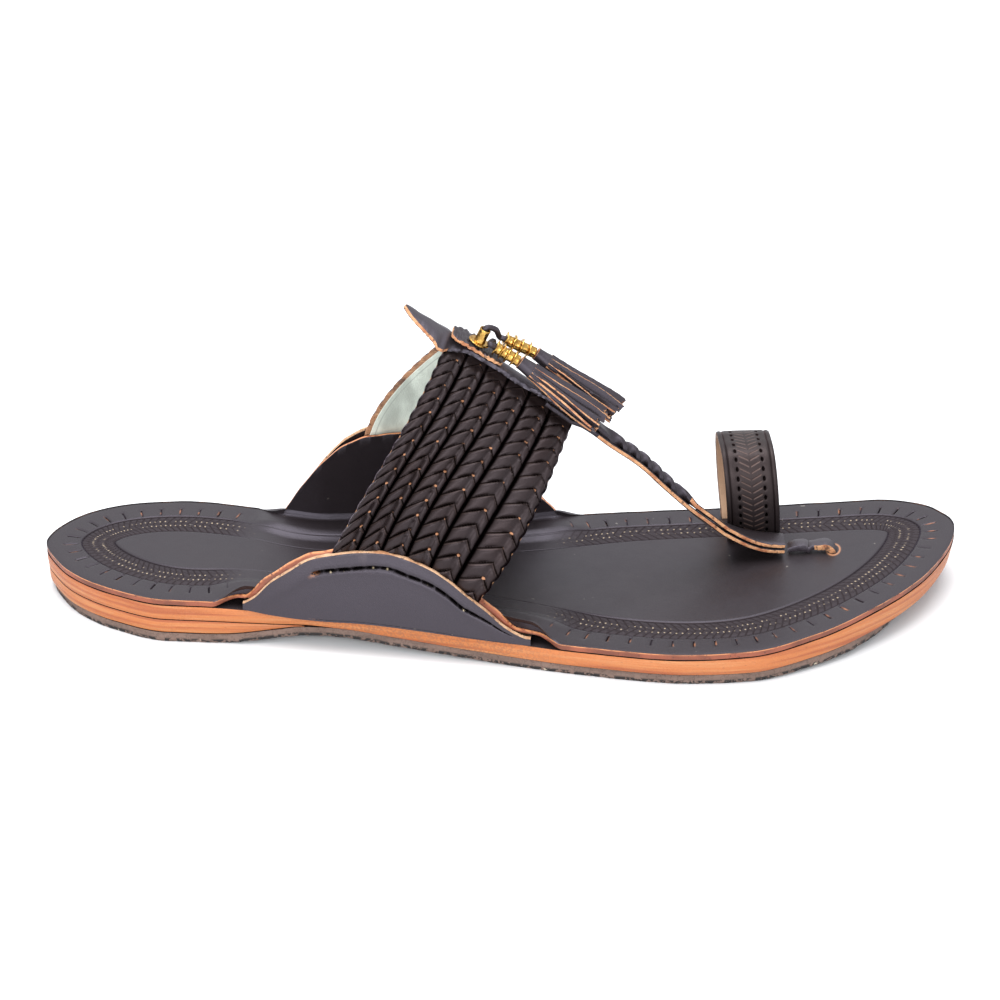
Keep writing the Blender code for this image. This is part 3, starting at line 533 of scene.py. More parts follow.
class LeatherColours(bpy.types.PropertyGroup):
    dark: colour("Dark leather", (0.0125, 0.0100, 0.0108), "Dyed face of the upper and the insole")
    cut: colour("Cut edge", (0.50, 0.25, 0.12), "Undyed leather where a strap or an ear is cut")
    brick: colour("Insole's edge", (0.24, 0.062, 0.028), "Stained edge of the insole")
    sole: colour("Sole leather", (0.43, 0.135, 0.036), "Edge of the midsole and the heel lift")
    rubber: colour("Rubber", (0.125, 0.082, 0.066), "Sheet under the sole")
    lining: colour("Lining", (0.68, 0.74, 0.66), "Pale lining inside the band")
    brass: colour("Brass", (0.56, 0.34, 0.09), "Eyelets and beads")


class BraidSizes(bpy.types.PropertyGroup):
    pitch: size("Pitch", 0.0049, "From one lobe of a braid to the next, beside the ears")
    ridge_pitch: size("Pitch at the ridge", 0.0037, "The same at the ridge, where the braids are pulled tight")
    apex: FloatProperty(name="Apex", default=0.68, min=0.5, max=0.9, description="Where the lobes meet")
    rear_rise: size("Rear lobe's rise", 0.0050, "How far a rear lobe climbs to the apex")
    front_rise: size("Front lobe's rise", 0.0026, "How far a front lobe climbs to the apex")
    fade: size("Flat at the ridge", 0.0030, "Half-width of the ridge under the centre strap")


class ToolingSizes(bpy.types.PropertyGroup):
    border: size("Border", 0.0096, "From the insole's edge to the outer groove")
    band: size("Tooled band", 0.0086, "Between the two grooves")
    slit_pitch: size("Slit pitch", 0.0066, "From one slit of the border to the next")
    scale_pitch: size("Scale pitch", 0.0028, "From one tooled scale to the next")
    dot_pitch: size("Dot pitch", 0.0020, "From one light dot of the tooled band to the next")
    depth: size("Depth", 0.00032, "Depth of the grooves")


class StudioSettings(bpy.types.PropertyGroup):
    azimuth: FloatProperty(name="Azimuth", default=radians(4), subtype="ANGLE", description="Camera")
    elevation: FloatProperty(name="Elevation", default=radians(28), subtype="ANGLE", description="Camera")
    distance: size("Distance", 1.2, "From the camera to the sandal")
    key: FloatProperty(name="Key light", default=22.0, min=0, unit="POWER", description="Soft light from above")
    sky: FloatProperty(name="Surroundings", default=1.05, min=0, description="Brightness of the white room")


SETTINGS = {
    "sandal_leathers": LeatherColours,
    "sandal_braid": BraidSizes,
    "sandal_tooling": ToolingSizes,
    "sandal_studio": StudioSettings,
}

# Shapes


def wobble(x, y, z, scale):
    """A smooth irregularity between -1 and 1 that repeats nowhere; scale is the size of its bumps."""
    return noise.noise(Vector((x, y, z)) / scale)


class Shape:
    """Collects points and faces; a face has the number of its finish and its places on the pattern."""

    def __init__(self):
        self.points, self.faces, self.finishes, self.places = [], [], [], []

    def face(self, corners, finish=0, places=None):
        self.faces.append(corners)
        self.finishes.append(finish)
        self.places.append(places or [(0.0, 0.0)] * len(corners))

    def sweep(self, rings, finish=lambda i, k: 0, place=None, loop=True, caps=True):
        """Joins rings of as many points each; loop closes each ring, caps close the two ends."""
        first = len(self.points)
        wide = len(rings[0])
        for ring in rings:
            self.points.extend(ring)

        def index(i, k):
            return first + i * wide + k % wide

        for i in range(len(rings) - 1):
            for k in range(wide if loop else wide - 1):
                corners = (index(i, k), index(i, k + 1), index(i + 1, k + 1), index(i + 1, k))
                places = place and [place(i, k), place(i, k + 1), place(i + 1, k + 1), place(i + 1, k)]
                self.face(corners, finish(i, k), places)
        if caps and loop:
            self.face([index(0, k) for k in range(wide)][::-1], finish(0, -1))
            self.face([index(len(rings) - 1, k) for k in range(wide)], finish(len(rings) - 1, -1))

    def build(self, name, finishes, nodes, sharp=45):
        """Makes the piece, turned right side out, which stands for the named nodes of the model."""
        mesh = bpy.data.meshes.new(name)
        mesh.from_pydata([tuple(point) for point in self.points], [], self.faces)
        for finish in finishes:
            mesh.materials.append(finish)
        mesh.polygons.foreach_set("material_index", self.finishes)
        layer = mesh.uv_layers.new(name="Pattern")
        layer.data.foreach_set("uv", [value for places in self.places for uv in places for value in uv])
        mesh.calc_loop_triangles()
        corners = np.array([mesh.vertices[i].co for t in mesh.loop_triangles for i in t.vertices])
        a, b, c = corners[0::3], corners[1::3], corners[2::3]
        if np.einsum("ij,ij->i", a, np.cross(b, c)).sum() < 0:
            mesh.flip_normals()
        mesh.polygons.foreach_set("use_smooth", [True] * len(mesh.polygons))
        mesh.set_sharp_from_angle(angle=radians(sharp))
        piece = bpy.data.objects.new(name, mesh)
        bpy.context.scene.collection.objects.link(piece)
        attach(piece, "root")
        if nodes:
            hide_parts(*nodes)
        return piece


def rounded_strip(middle, half, up, thickness, crown=0.0, ragged=0.0, seed=0.0):
    """A strap's cross-section: five points under, three on each cut edge, five over; up is a unit vector."""
    out = half.normalized()
    wide = half.length
    under = [(-0.96, 0.0), (-0.5, 0.0), (0.0, 0.0), (0.5, 0.0), (0.96, 0.0)]
    side = [(1.0, 0.16), (1.0, 0.5), (1.0, 0.84)]
    over = [(0.95, 1.0), (0.5, 1.0), (0.0, 1.0), (-0.5, 1.0), (-0.95, 1.0)]
    back = [(-1.0, 0.84), (-1.0, 0.5), (-1.0, 0.16)]
    ring = []
    for across, high in under + side + over + back:
        on_edge = abs(across) > 0.9
        rough = ragged * wobble(middle.x, across * 0.01 + seed, high * 0.002, 0.0011) if on_edge else 0.0
        lift = crown * (1 - across * across) * (1 if high > 0.9 else 0)
        place = middle + out * (across * wide + math.copysign(rough, across))
        ring.append(place + up * (thickness * high + lift))
    return ring


STRIP_SIDES = (4, 5, 6, 7, 12, 13, 14, 15)  # positions of a strap's cut edges in its cross-section


def strip_finish(face=0, cut=1, under=2):
    """Finishes round a strap's cross-section: its face, its two cut edges and its underside."""

    def finish(i, k):
        if k in STRIP_SIDES or k == -1:
            return cut
        return under if k < 4 else face

    return finish


# Finishes


class Graph:
    """Short calls that add linked nodes to one node tree."""

    def __init__(self, tree):
        self.tree = tree
        self.shader = tree.nodes.get("Principled BSDF")

    def put(self, value, socket):
        """Links the value to the socket, or sets it there if it is a number or a colour."""
        if isinstance(value, bpy.types.NodeSocket):
            self.tree.links.new(value, socket)
        else:
            socket.default_value = value

    def node(self, kind, inputs=None, **settings):
        made = self.tree.nodes.new(kind)
        for name, value in settings.items():
            setattr(made, name, value)
        for name, value in (inputs or {}).items():
            self.put(value, made.inputs[name])
        return made

    def math(self, operation, *values):
        return self.node("ShaderNodeMath", dict(enumerate(values)), operation=operation).outputs[0]

    def times(self, *values):
        return functools.reduce(lambda a, b: self.math("MULTIPLY", a, b), values)

    def most(self, *values):
        return functools.reduce(lambda a, b: self.math("MAXIMUM", a, b), values)

    def add(self, a, b):
        return self.math("ADD", a, b)

    def less(self, a, b):
        return self.math("SUBTRACT", a, b)

    def fract(self, value):
        return self.math("FRACT", value)

    def away(self, a, b):
        """How far off a point is that lies a to the side and b ahead."""
        return self.math("SQRT", self.add(self.math("POWER", a, 2.0), self.math("POWER", b, 2.0)))

    def step(self, low, high, value):
        """0 at low, 1 at high, softly; low may be the greater."""
        ends = {"Value": value, "From Min": low, "From Max": high}
        return self.node("ShaderNodeMapRange", ends, interpolation_type="SMOOTHSTEP").outputs["Result"]

    def ridge(self, value, at, wide):
        """1 where value is at, falling to 0 at that width to both sides."""
        return self.step(wide, 0.0, self.math("ABSOLUTE", self.less(value, at)))

    def blend(self, amount, one, other):
        return self.node("ShaderNodeMix", {0: amount, 6: one, 7: other}, data_type="RGBA").outputs[2]

    def paint(self, tone, colour_over, *amounts):
        """A colour laid over a tone, by the product of the amounts."""
        return self.blend(self.times(*amounts), tone, (*colour_over, 1))

    def noise(self, scale, detail=2.0, stretch=None, vector=None, roughness=0.5):
        """Smooth noise over the object, at bumps per metre; stretch scales its three directions."""
        vector = vector or self.node("ShaderNodeTexCoord").outputs["Object"]
        if stretch:
            vector = self.node("ShaderNodeMapping", {"Vector": vector, "Scale": stretch}).outputs[0]
        inputs = {"Vector": vector, "Scale": scale, "Detail": detail, "Roughness": roughness}
        return self.node("ShaderNodeTexNoise", inputs).outputs["Fac"]

    def pattern(self):
        """The two places on the piece's own pattern."""
        uv = self.node("ShaderNodeUVMap", uv_map="Pattern").outputs[0]
        return self.node("ShaderNodeSeparateXYZ", {0: uv}).outputs[:2]

    def place(self):
        """X, Y and Z on the object."""
        where = self.node("ShaderNodeTexCoord").outputs["Object"]
        return self.node("ShaderNodeSeparateXYZ", {0: where}).outputs

    def group(self, tree, **inputs):
        made = self.node("ShaderNodeGroup", node_tree=tree)
        for name, value in inputs.items():
            self.put(value, made.inputs[name.capitalize()])
        return made.outputs

    def wire(self, **sockets):
        """Sets the shader's sockets, with _ for the spaces in their names."""
        for name, value in sockets.items():
            self.put(value, self.shader.inputs[name.replace("_", " ")])

    def relief(self, height, distance, strength):
        """Bump from a height between 0 and 1 that is worth that distance."""
        bump = self.node("ShaderNodeBump", {"Height": height, "Distance": distance, "Strength": strength})
        self.wire(Normal=bump.outputs["Normal"])


def effect(name, inputs, outputs):
    """A shader node group of plain numbers: its graph, its given sockets and those that it fills."""
    interface = bpy.data.node_groups.new(name, "ShaderNodeTree").interface
    for socket, default in inputs.items():
        made = interface.new_socket(name=socket, in_out="INPUT", socket_type="NodeSocketFloat")
        made.default_value = default
    for socket in outputs:
        interface.new_socket(name=socket, in_out="OUTPUT", socket_type="NodeSocketFloat")
    graph = Graph(bpy.data.node_groups[name])
    return graph, graph.node("NodeGroupInput").outputs, graph.node("NodeGroupOutput").inputs


def leather_grain():
    """Pores and fine creases: a height and a mask of the pores. Fineness 1 is calf leather."""
    if "Leather grain" in bpy.data.node_groups:
        return bpy.data.node_groups["Leather grain"]
    graph, given, out = effect("Leather grain", {"Fineness": 1.0, "Creases": 0.3}, ["Height", "Pores"])
    where = graph.node("ShaderNodeTexCoord").outputs["Object"]
    cells = graph.node(
        "ShaderNodeTexVoronoi",
        {"Vector": where, "Scale": graph.times(given["Fineness"], 1500.0), "Randomness": 1.0},
        feature="DISTANCE_TO_EDGE",
    ).outputs["Distance"]
    pores = graph.step(0.12, 0.0, cells)
    creases = graph.noise(graph.times(given["Fineness"], 260.0), 4.0, vector=where)
    height = graph.less(graph.times(creases, given["Creases"]), graph.times(pores, 0.25))
    graph.put(height, out["Height"])
    graph.put(pores, out["Pores"])
    return graph.tree


def flecks(graph, number, cover, long=1.0):
    """A mask that is 1 on scattered flecks, so many per metre; cover is the share that they take."""
    if "Flecks" not in bpy.data.node_groups:
        inputs = {"Number": 700.0, "Cover": 0.2, "Long": 1.0}
        inside, given, out = effect("Flecks", inputs, ["Mask"])
        where = inside.node("ShaderNodeTexCoord").outputs["Object"]
        stretch = inside.node("ShaderNodeCombineXYZ", {0: 1.0, 1: 1.0, 2: given["Long"]}).outputs[0]
        vector = inside.node("ShaderNodeVectorMath", {0: where, 1: stretch}, operation="MULTIPLY").outputs[0]
        value = inside.noise(given["Number"], 3.0, vector=vector, roughness=0.65)
        limit = inside.less(0.72, inside.times(given["Cover"], 0.5))
        inside.put(inside.step(limit, inside.add(limit, 0.06), value), out["Mask"])
    return graph.group(bpy.data.node_groups["Flecks"], number=number, cover=cover, long=long)["Mask"]


def finish_of(name):
    """A new material and its graph."""
    made = bpy.data.materials.new(name)
    made.use_nodes = True
    return made, Graph(made.node_tree)


def chosen(name, brightness=1.0):
    """A colour of the settings, made brighter or darker."""
    return (*(value * brightness for value in getattr(bpy.context.scene.sandal_leathers, name)), 1.0)


def dark_leather(name="Dark leather", shine=0.36, mottle=0.35, extra=None, gloss=0.52,
                 tint=(0.88, 0.81, 1.0, 1)):
    """Dyed smooth leather with a soft sheen; extra adds to it and says where the sheen is dulled, which
    Metallic
    takes: as a metal this dark it hardly mirrors anything, which paints shade into grooves, holes and seams."""
    if name in bpy.data.materials:
        return bpy.data.materials[name]
    made, graph = finish_of(name)
    grain = graph.group(leather_grain(), fineness=1.0, creases=0.35)
    cloudy = graph.noise(60.0, 3.0)
    tone = graph.paint(chosen("dark"), (0.024, 0.014, 0.012), cloudy, mottle)
    tone = graph.blend(graph.times(grain["Pores"], 0.35), tone, chosen("dark", 0.45))
    rough = graph.add(shine, graph.times(graph.noise(140.0, 3.0), 0.16))
    height = grain["Height"]
    dull = 0.0
    if extra:
        tone, rough, height, dull = extra(graph, tone, rough, height)
    graph.wire(Base_Color=tone, Roughness=rough, Metallic=dull)
    graph.wire(Specular_IOR_Level=gloss, Specular_Tint=tint)
    graph.relief(height, 0.00012, 0.5)
    return made


def cut_leather(name="Cut edge", base=None, stain=(0.30, 0.10, 0.04, 1)):
    """The raw edge of a strap: undyed fibres with dye that has run in from the face."""
    if name in bpy.data.materials:
        return bpy.data.materials[name]
    base = base or chosen("cut")
    made, graph = finish_of(name)
    fibres = graph.noise(1900.0, 4.0, (0.35, 0.35, 1.6))
    patches = graph.noise(210.0, 3.0)
    tone = graph.blend(graph.step(0.42, 0.68, patches), base, stain)
    tone = graph.paint(tone, (0.05, 0.022, 0.014), flecks(graph, 900.0, 0.28, 0.6), 0.8)
    light = graph.step(0.5, 0.75, fibres)
    tone = graph.paint(tone, (0.80, 0.52, 0.30), light, 0.45)
    graph.wire(Base_Color=tone, Roughness=graph.add(0.6, graph.times(fibres, 0.3)))
    graph.relief(fibres, 0.0005, 0.6)
    return made


def suede():
    """The dark underside of the straps."""
    if "Suede underside" in bpy.data.materials:
        return bpy.data.materials["Suede underside"]
    made, graph = finish_of("Suede underside")
    nap = graph.noise(1500.0, 4.0)
    patches = graph.noise(160.0, 3.0)
    tone = graph.blend(patches, (0.030, 0.017, 0.012, 1), (0.10, 0.055, 0.032, 1))
    graph.wire(Base_Color=tone, Roughness=graph.add(0.75, graph.times(nap, 0.2)))
    graph.relief(nap, 0.0003, 0.5)
    return made


def sole_edge():
    """Stacked sole leather seen from its side: orange and tan streaks along the layers, dark flecks."""
    made, graph = finish_of("Sole leather")
    streaks = graph.noise(34.0, 5.0, (1.0, 1.0, 26.0), roughness=0.6)
    bands = graph.noise(12.0, 3.0, (1.0, 1.0, 40.0))
    tone = graph.paint(chosen("sole"), (0.47, 0.20, 0.075), graph.step(0.44, 0.70, streaks), 0.85)
    tone = graph.paint(tone, (0.28, 0.062, 0.018), graph.step(0.48, 0.64, bands), 0.8)
    x = graph.place()[0]
    arch = graph.times(graph.step(along(0.25), along(0.36), x), graph.step(along(0.62), along(0.50), x))
    fibres = flecks(graph, 1500.0, 0.45)
    tone = graph.paint(tone, (0.26, 0.10, 0.045), fibres, arch, 0.65)
    tone = graph.paint(tone, (0.16, 0.055, 0.025), flecks(graph, 520.0, 0.10, 3.0), 0.6)
    burnished = graph.step(0.55, 0.75, graph.noise(70.0, 2.0))
    rough = graph.less(0.52, graph.times(burnished, 0.16))
    graph.wire(Base_Color=tone, Roughness=graph.add(rough, graph.times(arch, 0.2)))
    graph.relief(graph.add(streaks, graph.times(fibres, 0.4)), 0.0004, 0.5)
    return made


def rubber_sheet():
    """The cut sheet under the sole: dull brown-grey, with crumbs along its lower edge."""
    made, graph = finish_of("Rubber")
    smear = graph.noise(90.0, 4.0, (1.0, 1.0, 6.0))
    tone = graph.blend(graph.step(0.35, 0.65, smear), chosen("rubber"), chosen("rubber", 1.3))
    crumbs = flecks(graph, 640.0, 0.55)
    _, low = graph.pattern()
    torn = graph.step(0.55, 0.30, low)
    tone = graph.paint(tone, (0.012, 0.010, 0.010), crumbs, torn)
    pale = flecks(graph, 430.0, 0.12)
    tone = graph.paint(tone, (0.55, 0.47, 0.36), pale, torn, 0.9)
    graph.wire(Base_Color=tone, Roughness=0.82)
    graph.relief(graph.add(smear, crumbs), 0.0005, 0.6)
    return made


def brass():
    """Drawn brass: bright, with fine turning marks and dull spots."""
    if "Brass" in bpy.data.materials:
        return bpy.data.materials["Brass"]
    made, graph = finish_of("Brass")
    dull = graph.step(0.45, 0.75, graph.noise(700.0, 3.0))
    tone = graph.paint(chosen("brass"), (0.20, 0.085, 0.02), dull, 0.75)
    graph.wire(Base_Color=tone, Metallic=1.0, Roughness=graph.add(0.20, graph.times(dull, 0.22)))
    graph.relief(graph.noise(1500.0, 2.0), 0.00016, 0.8)
    return made


# Sole


def dense_shares(count):
    """Shares of the length from end to end, closest at the round ends."""
    return [(1 - cos(pi * i / (count - 1))) / 2 for i in range(count)]


def sole_layer(name, shares, upper, lower, top, bottom, finish, nodes, ripple, bulge):
    """A layer of the sole with an edge that is slightly wavy and rounded; upper and lower are its insets."""
    shape = Shape()
    parts = 7
    rings = []
    for share in shares:
        high_x, high_out, high_inn = rim(share, *upper)
        low_x, low_out, low_inn = rim(share, *lower)
        high, low = top(share_at(high_x)), bottom(share_at(low_x))
        sides = []
        for side, one, other in ((OUTER, high_out, low_out), (INNER, high_inn, low_inn)):
            column = []
            for k in range(parts):
                t = k / (parts - 1)
                x, y, z = mix(high_x, low_x, t), mix(one, other, t), mix(high, low, t)
                round_end = 0.00025 * (1 - sin(pi * t) ** 0.5)
                wave = ripple * wobble(x, y, z * 1.6, 0.007) * (0.3 if k in (0, parts - 1) else 1.0)
                out = bulge * sin(pi * t) + wave - round_end
                if share in (shares[0], shares[-1]):
                    out = 0.0
                column.append(Vector((x, y + side * out, z)))
            sides.append(column)
        rings.append(sides[0] + sides[1][::-1])
    wide = len(rings[0])

    def place(i, k):
        k %= wide
        return (rings[i][k].x, 1 - k / (parts - 1) if k < parts else (k - parts) / (parts - 1))

    # the top face of each layer takes the dark leather: painted shade where it shows in the gap under the
    # insole
    shape.sweep(rings, lambda i, k: 1 if k == wide - 1 else 0, place)
    return shape.build(name, [finish, dark_leather()], nodes, sharp=40)


class SANDAL_OT_sole(bpy.types.Operator):
    """Rubber sheet, heel lift and midsole, each with its own cut edge"""

    bl_idname = "sandal.sole"
    bl_label = "Sole"

    def execute(self, context):
        leather, rubber = sole_edge(), rubber_sheet()
        shares = dense_shares(300)
        ragged = []
        for share in shares:
            crumbled = 0.00035 * max(0.0, wobble(share, 0.0, 0.0, 0.011))
            ragged.append(crumbled + 0.0002 * wobble(share, 1.0, 0.0, 0.004))
        table = list(zip(shares, ragged))

        def torn_bottom(share):
            return ground(share) + max(0.0, smooth_through(table, 1, share))

        sole_layer("rubber_sheet", shares, OUTSOLE_INSETS, OUTSOLE_INSETS, outsole_top, torn_bottom,
                   rubber, ["outsole"], 0.00030, 0.0)
        lift = [share for share in shares if share < LIFT_END - 0.002] + [LIFT_END]
        sole_layer("heel_wedge", lift, pared(1), pared(2), lift_top, lift_bottom,
                   leather, ["heel_lift"], 0.00016, 0.00010)
        sole_layer("middle_sole", shares, pared(0), pared(1), midsole_top, midsole_bottom,
                   leather, ["midsole"], 0.00016, 0.00014)
        return {"FINISHED"}


# Insole


TOOLED_REAR, TOOLED_FRONT = (0.19, 0.235), (0.545, 0.60)  # shares of the length where the tooling fades
SLIT_START, SLIT_END = 0.0046, 0.0086  # distances from the insole's edge
SLIT_BEND = 0.0060  # where a slit of the border bends most


def tooled_face(settings, graph, tone, rough, height):
    """The insole's face: a border of slits, two grooves and a band of scales with light dots between them."""
    u, v = graph.pattern()
    x, y, _ = graph.place()
    inner = settings.border + settings.band
    rear, front = [[along(share) for share in ends] for ends in (TOOLED_REAR, TOOLED_FRONT)]
    clear = graph.add(graph.step(rear[1], rear[0], x), graph.step(front[0], front[1], x))
    on_face = graph.times(graph.step(0.0, 0.0006, v), graph.math("MINIMUM", clear, 1.0))
    turn = graph.fract(graph.math("DIVIDE", u, settings.slit_pitch))
    bend = graph.times(graph.math("POWER", graph.times(graph.less(v, SLIT_BEND), 300.0), 2.0), 0.04)
    across = graph.times(graph.less(graph.less(turn, 0.5), bend), settings.slit_pitch)
    long = graph.times(graph.step(SLIT_START - 0.0001, SLIT_START + 0.0003, v),
                       graph.step(SLIT_END, SLIT_END - 0.0004, v))
    slit = graph.times(graph.ridge(across, 0.0, 0.00042), long, on_face)
    ends = graph.times(graph.ridge(across, 0.00030, 0.00042), graph.ridge(v, 0.0062, 0.0022), on_face)
    torn = graph.step(0.46, 0.60, graph.noise(190.0, 2.0))
    grooves = graph.most(graph.ridge(v, settings.border, 0.0005), graph.ridge(v, inner, 0.0005))
    band = graph.times(graph.step(settings.border, settings.border + 0.0004, v),
                       graph.step(inner, inner - 0.0004, v))
    middle = settings.border + settings.band / 2
    rise = graph.times(graph.math("ABSOLUTE", graph.less(v, middle)), 1.0 / settings.scale_pitch * 0.8)
    scales = graph.fract(graph.add(graph.math("DIVIDE", u, settings.scale_pitch), rise))
    cut = graph.most(graph.step(0.80, 0.97, scales), graph.step(0.20, 0.03, scales))
    fine = graph.fract(graph.times(graph.add(v, graph.times(scales, 0.0012)), 1.0 / 0.0022))
    cut = graph.most(cut, graph.times(graph.ridge(fine, 0.5, 0.3), 0.6))
    tooling = graph.times(cut, band, on_face)
    step_u = graph.fract(graph.math("DIVIDE", u, settings.dot_pitch))
    near = graph.times(graph.less(step_u, 0.5), settings.dot_pitch)
    dots = None
    for row in (middle - 0.0014, middle + 0.0010):
        spot = graph.step(0.00040, 0.00018, graph.away(near, graph.less(v, row)))
        dots = spot if dots is None else graph.most(dots, spot)
    shown = graph.step(0.40, 0.54, graph.noise(420.0, 1.0))
    dots = graph.times(dots, on_face, shown)
    # painted shade: the tooled cuts, the grooves and the slits are painted darker than the face
    tone = graph.paint(tone, (0.012, 0.008, 0.007), tooling, 0.75)
    tone = graph.paint(tone, (0.022, 0.014, 0.011), band, on_face, 0.35)
    tone = graph.paint(tone, (0.012, 0.008, 0.007), grooves, on_face, 0.6)
    tone = graph.paint(tone, (0.010, 0.006, 0.005), slit)
    tone = graph.paint(tone, (0.33, 0.13, 0.055), ends, torn, 0.85)
    tone = graph.paint(tone, (0.38, 0.30, 0.20), dots, 0.8)
    tone = graph.paint(tone, (0.36, 0.33, 0.29), flecks(graph, 330.0, 0.014), 0.5)
    to_hole = graph.less(x, along(ANCHOR_HOLE) + ANCHOR / 2)
    away = graph.away(to_hole, graph.times(graph.less(y, BALL_WIDTH * ANCHOR_SIDE), 0.55))
    tone = graph.paint(tone, (0.34, 0.16, 0.08), graph.ridge(away, 0.0019, 0.0006))
    # painted shade inside the lace's hole, within its tan rim
    tone = graph.paint(tone, (0.004, 0.003, 0.003), graph.step(0.0019, 0.0014, away))
    rough = graph.add(rough, graph.times(band, on_face, 0.24))
    carved = graph.most(slit, tooling, grooves)
    # dull dims the sheen through Metallic: painted shade over the tooled band's relief, deepest in its cuts, in
    # the slits and in the grooves, but not on the pale dots and torn ends
    dull = graph.most(graph.times(graph.add(0.20, graph.times(cut, 0.42)), band, on_face),
                      graph.most(slit, graph.times(grooves, on_face, 0.9)))
    pale = graph.most(dots, graph.times(ends, torn))
    dull = graph.times(dull, graph.less(1.0, pale))
    return tone, rough, graph.less(graph.times(height, 0.6), graph.times(carved, 1.6)), dull


def insole_rim():
    """The insole's cut edge: stained brick red, with a bright line where the dye of the face ends."""
    made, graph = finish_of("Insole edge")
    _, v = graph.pattern()
    fibres = graph.noise(900.0, 4.0, (0.4, 0.4, 2.0))
    patches = graph.step(0.40, 0.65, graph.noise(90.0, 3.0))
    tone = graph.blend(patches, chosen("brick"), chosen("brick", 0.55))
    bright = graph.step(-0.00075, -0.0003, v)
    tone = graph.paint(tone, (0.66, 0.27, 0.11), bright, graph.step(0.30, 0.50, fibres))
    tone = graph.paint(tone, (0.045, 0.014, 0.010), flecks(graph, 800.0, 0.2, 0.8), 0.7)
    graph.wire(Base_Color=tone, Roughness=graph.add(0.45, graph.times(fibres, 0.25)))
    graph.relief(fibres, 0.0004, 0.5)
    return made


WING_DROP = 0.0014  # the wings end this much lower than in the solid
WING_LIFT = EAR + GAP  # the insole lies this much above its seat beside a wing
WING_FILLET = 0.0020
PAIRS = 460  # steps along each side of the insole
SEAT_X = np.linspace(-HEEL_BACK, LENGTH - HEEL_BACK, 600)
SEAT_Z = [seat(share_at(x)) for x in SEAT_X]


def insole_line():
    """The insole's edge as arrays in even steps, up the outer side and back down the inner side."""
    dense = [pi * i / 4000 for i in range(4001)]
    sides = [[smooth_through(EDGES, column, t) for column in (1, 2)] for t in dense]
    places = [(LENGTH * (1 - cos(t)) / 2, *both) for t, both in zip(dense, sides)]
    walk = [0.0]
    for one, other in zip(places, places[1:]):
        walk.append(walk[-1] + (math.dist(other[:2], one[:2]) + math.dist(other[::2], one[::2])) / 2)
    # even steps along the edge, the same turns on both sides
    turns = np.interp(np.linspace(0, walk[-1], PAIRS + 1), walk, dense)
    shares = (1 - np.cos(turns)) / 2
    side = np.array([OUTER] * (PAIRS + 1) + [INNER] * (PAIRS - 1))
    share = np.concatenate([shares, shares[-2:0:-1]])
    folded, wall, edge_y, high, inset = (np.zeros(len(share)) for _ in range(5))
    for i, (s, t) in enumerate(zip(side.tolist(), share.tolist())):
        start, end = EAR_SPAN[s]
        folded[i] = ease(start - 0.034, start + 0.004, t) * (1 - ease(end - 0.002, end + 0.034, t))
        inset[i] = wing_inset(s, t)
        wall[i] = ear_line(s, t) - s * (inset[i] + INSOLE)
        edge_y[i] = edge(t, s)
        high[i] = max(ear_height(s, t, WING_GROW) - WING_DROP, WING_LIFT + LEAST_WING)
    x = LENGTH * share - HEEL_BACK
    seats = np.array([seat(t) for t in share.tolist()])
    floor = np.stack([x, edge_y * (1 - folded) + wall * folded], axis=1)
    u = np.concatenate([[0.0], np.cumsum(np.linalg.norm(np.roll(floor, -1, axis=0) - floor, axis=1))])
    return SimpleNamespace(side=side, share=share, folded=folded, high=high, inset=inset, x=x, seats=seats,
                           floor=floor, u=u)


def headings(ring):
    """Unit vectors along a closed ring of plan positions."""
    ahead = np.roll(ring, -1, axis=0) - np.roll(ring, 1, axis=0)
    return ahead / np.linalg.norm(ahead, axis=1)[:, None]


def drawn_in(floor, offsets):
    """Plan positions at those distances from the edge, each ring drawn in from the last."""
    here, at, found = floor.copy(), 0.0, []
    for offset in offsets:
        while at < offset - 1e-9:
            stride = min(0.0004, offset - at)
            ahead = headings(here)
            here = here + np.stack([-ahead[:, 1], ahead[:, 0]], axis=1) * stride
            for _ in range(5 if at < 0.010 else 15):
                here = here * 0.5 + (np.roll(here, 1, axis=0) + np.roll(here, -1, axis=0)) * 0.25
            at += stride
        found.append(here.copy())
    return found


def over_seat(line, plan, v, above):
    """Heights above the insole's seat, raised towards the folds of the wings."""
    z = np.interp(plan[:, 0], SEAT_X, SEAT_Z) + above
    return z + WING_LIFT * line.folded * (1 - ease(FOLD + RAMP_FLAT, FOLD + RAMP, v))


def tooling(settings, line, v):
    """The tooled relief at distance v from the edge, along the whole edge."""
    rear, front = [[along(share) for share in ends] for ends in (TOOLED_REAR, TOOLED_FRONT)]
    clear = np.clip((rear[1] - line.x) / (rear[1] - rear[0]), 0, 1)
    clear += np.clip((line.x - front[0]) / (front[1] - front[0]), 0, 1)
    inner = settings.border + settings.band
    deep = np.zeros(len(line.x))
    for groove in (settings.border, inner):
        deep += 1.2 * max(0.0, 1 - abs(v - groove) / 0.0006)
    if settings.border < v < inner:
        deep += 0.35
        rise = abs(v - settings.border - settings.band / 2) / settings.scale_pitch * 0.8
        phase = (line.u[:-1] / settings.scale_pitch + rise) % 1.0
        deep += 0.5 * np.clip(1 - np.minimum(phase, 1 - phase) / 0.2, 0, 1)
    if SLIT_START < v < SLIT_END:
        turn = (line.u[:-1] / settings.slit_pitch) % 1.0
        bend = ((v - SLIT_BEND) * 300.0) ** 2 * 0.04
        deep += 1.5 * np.clip(1 - np.abs(turn - 0.5 - bend) * settings.slit_pitch / 0.0006, 0, 1)
    return -settings.depth * deep * np.clip(clear, 0, 1)


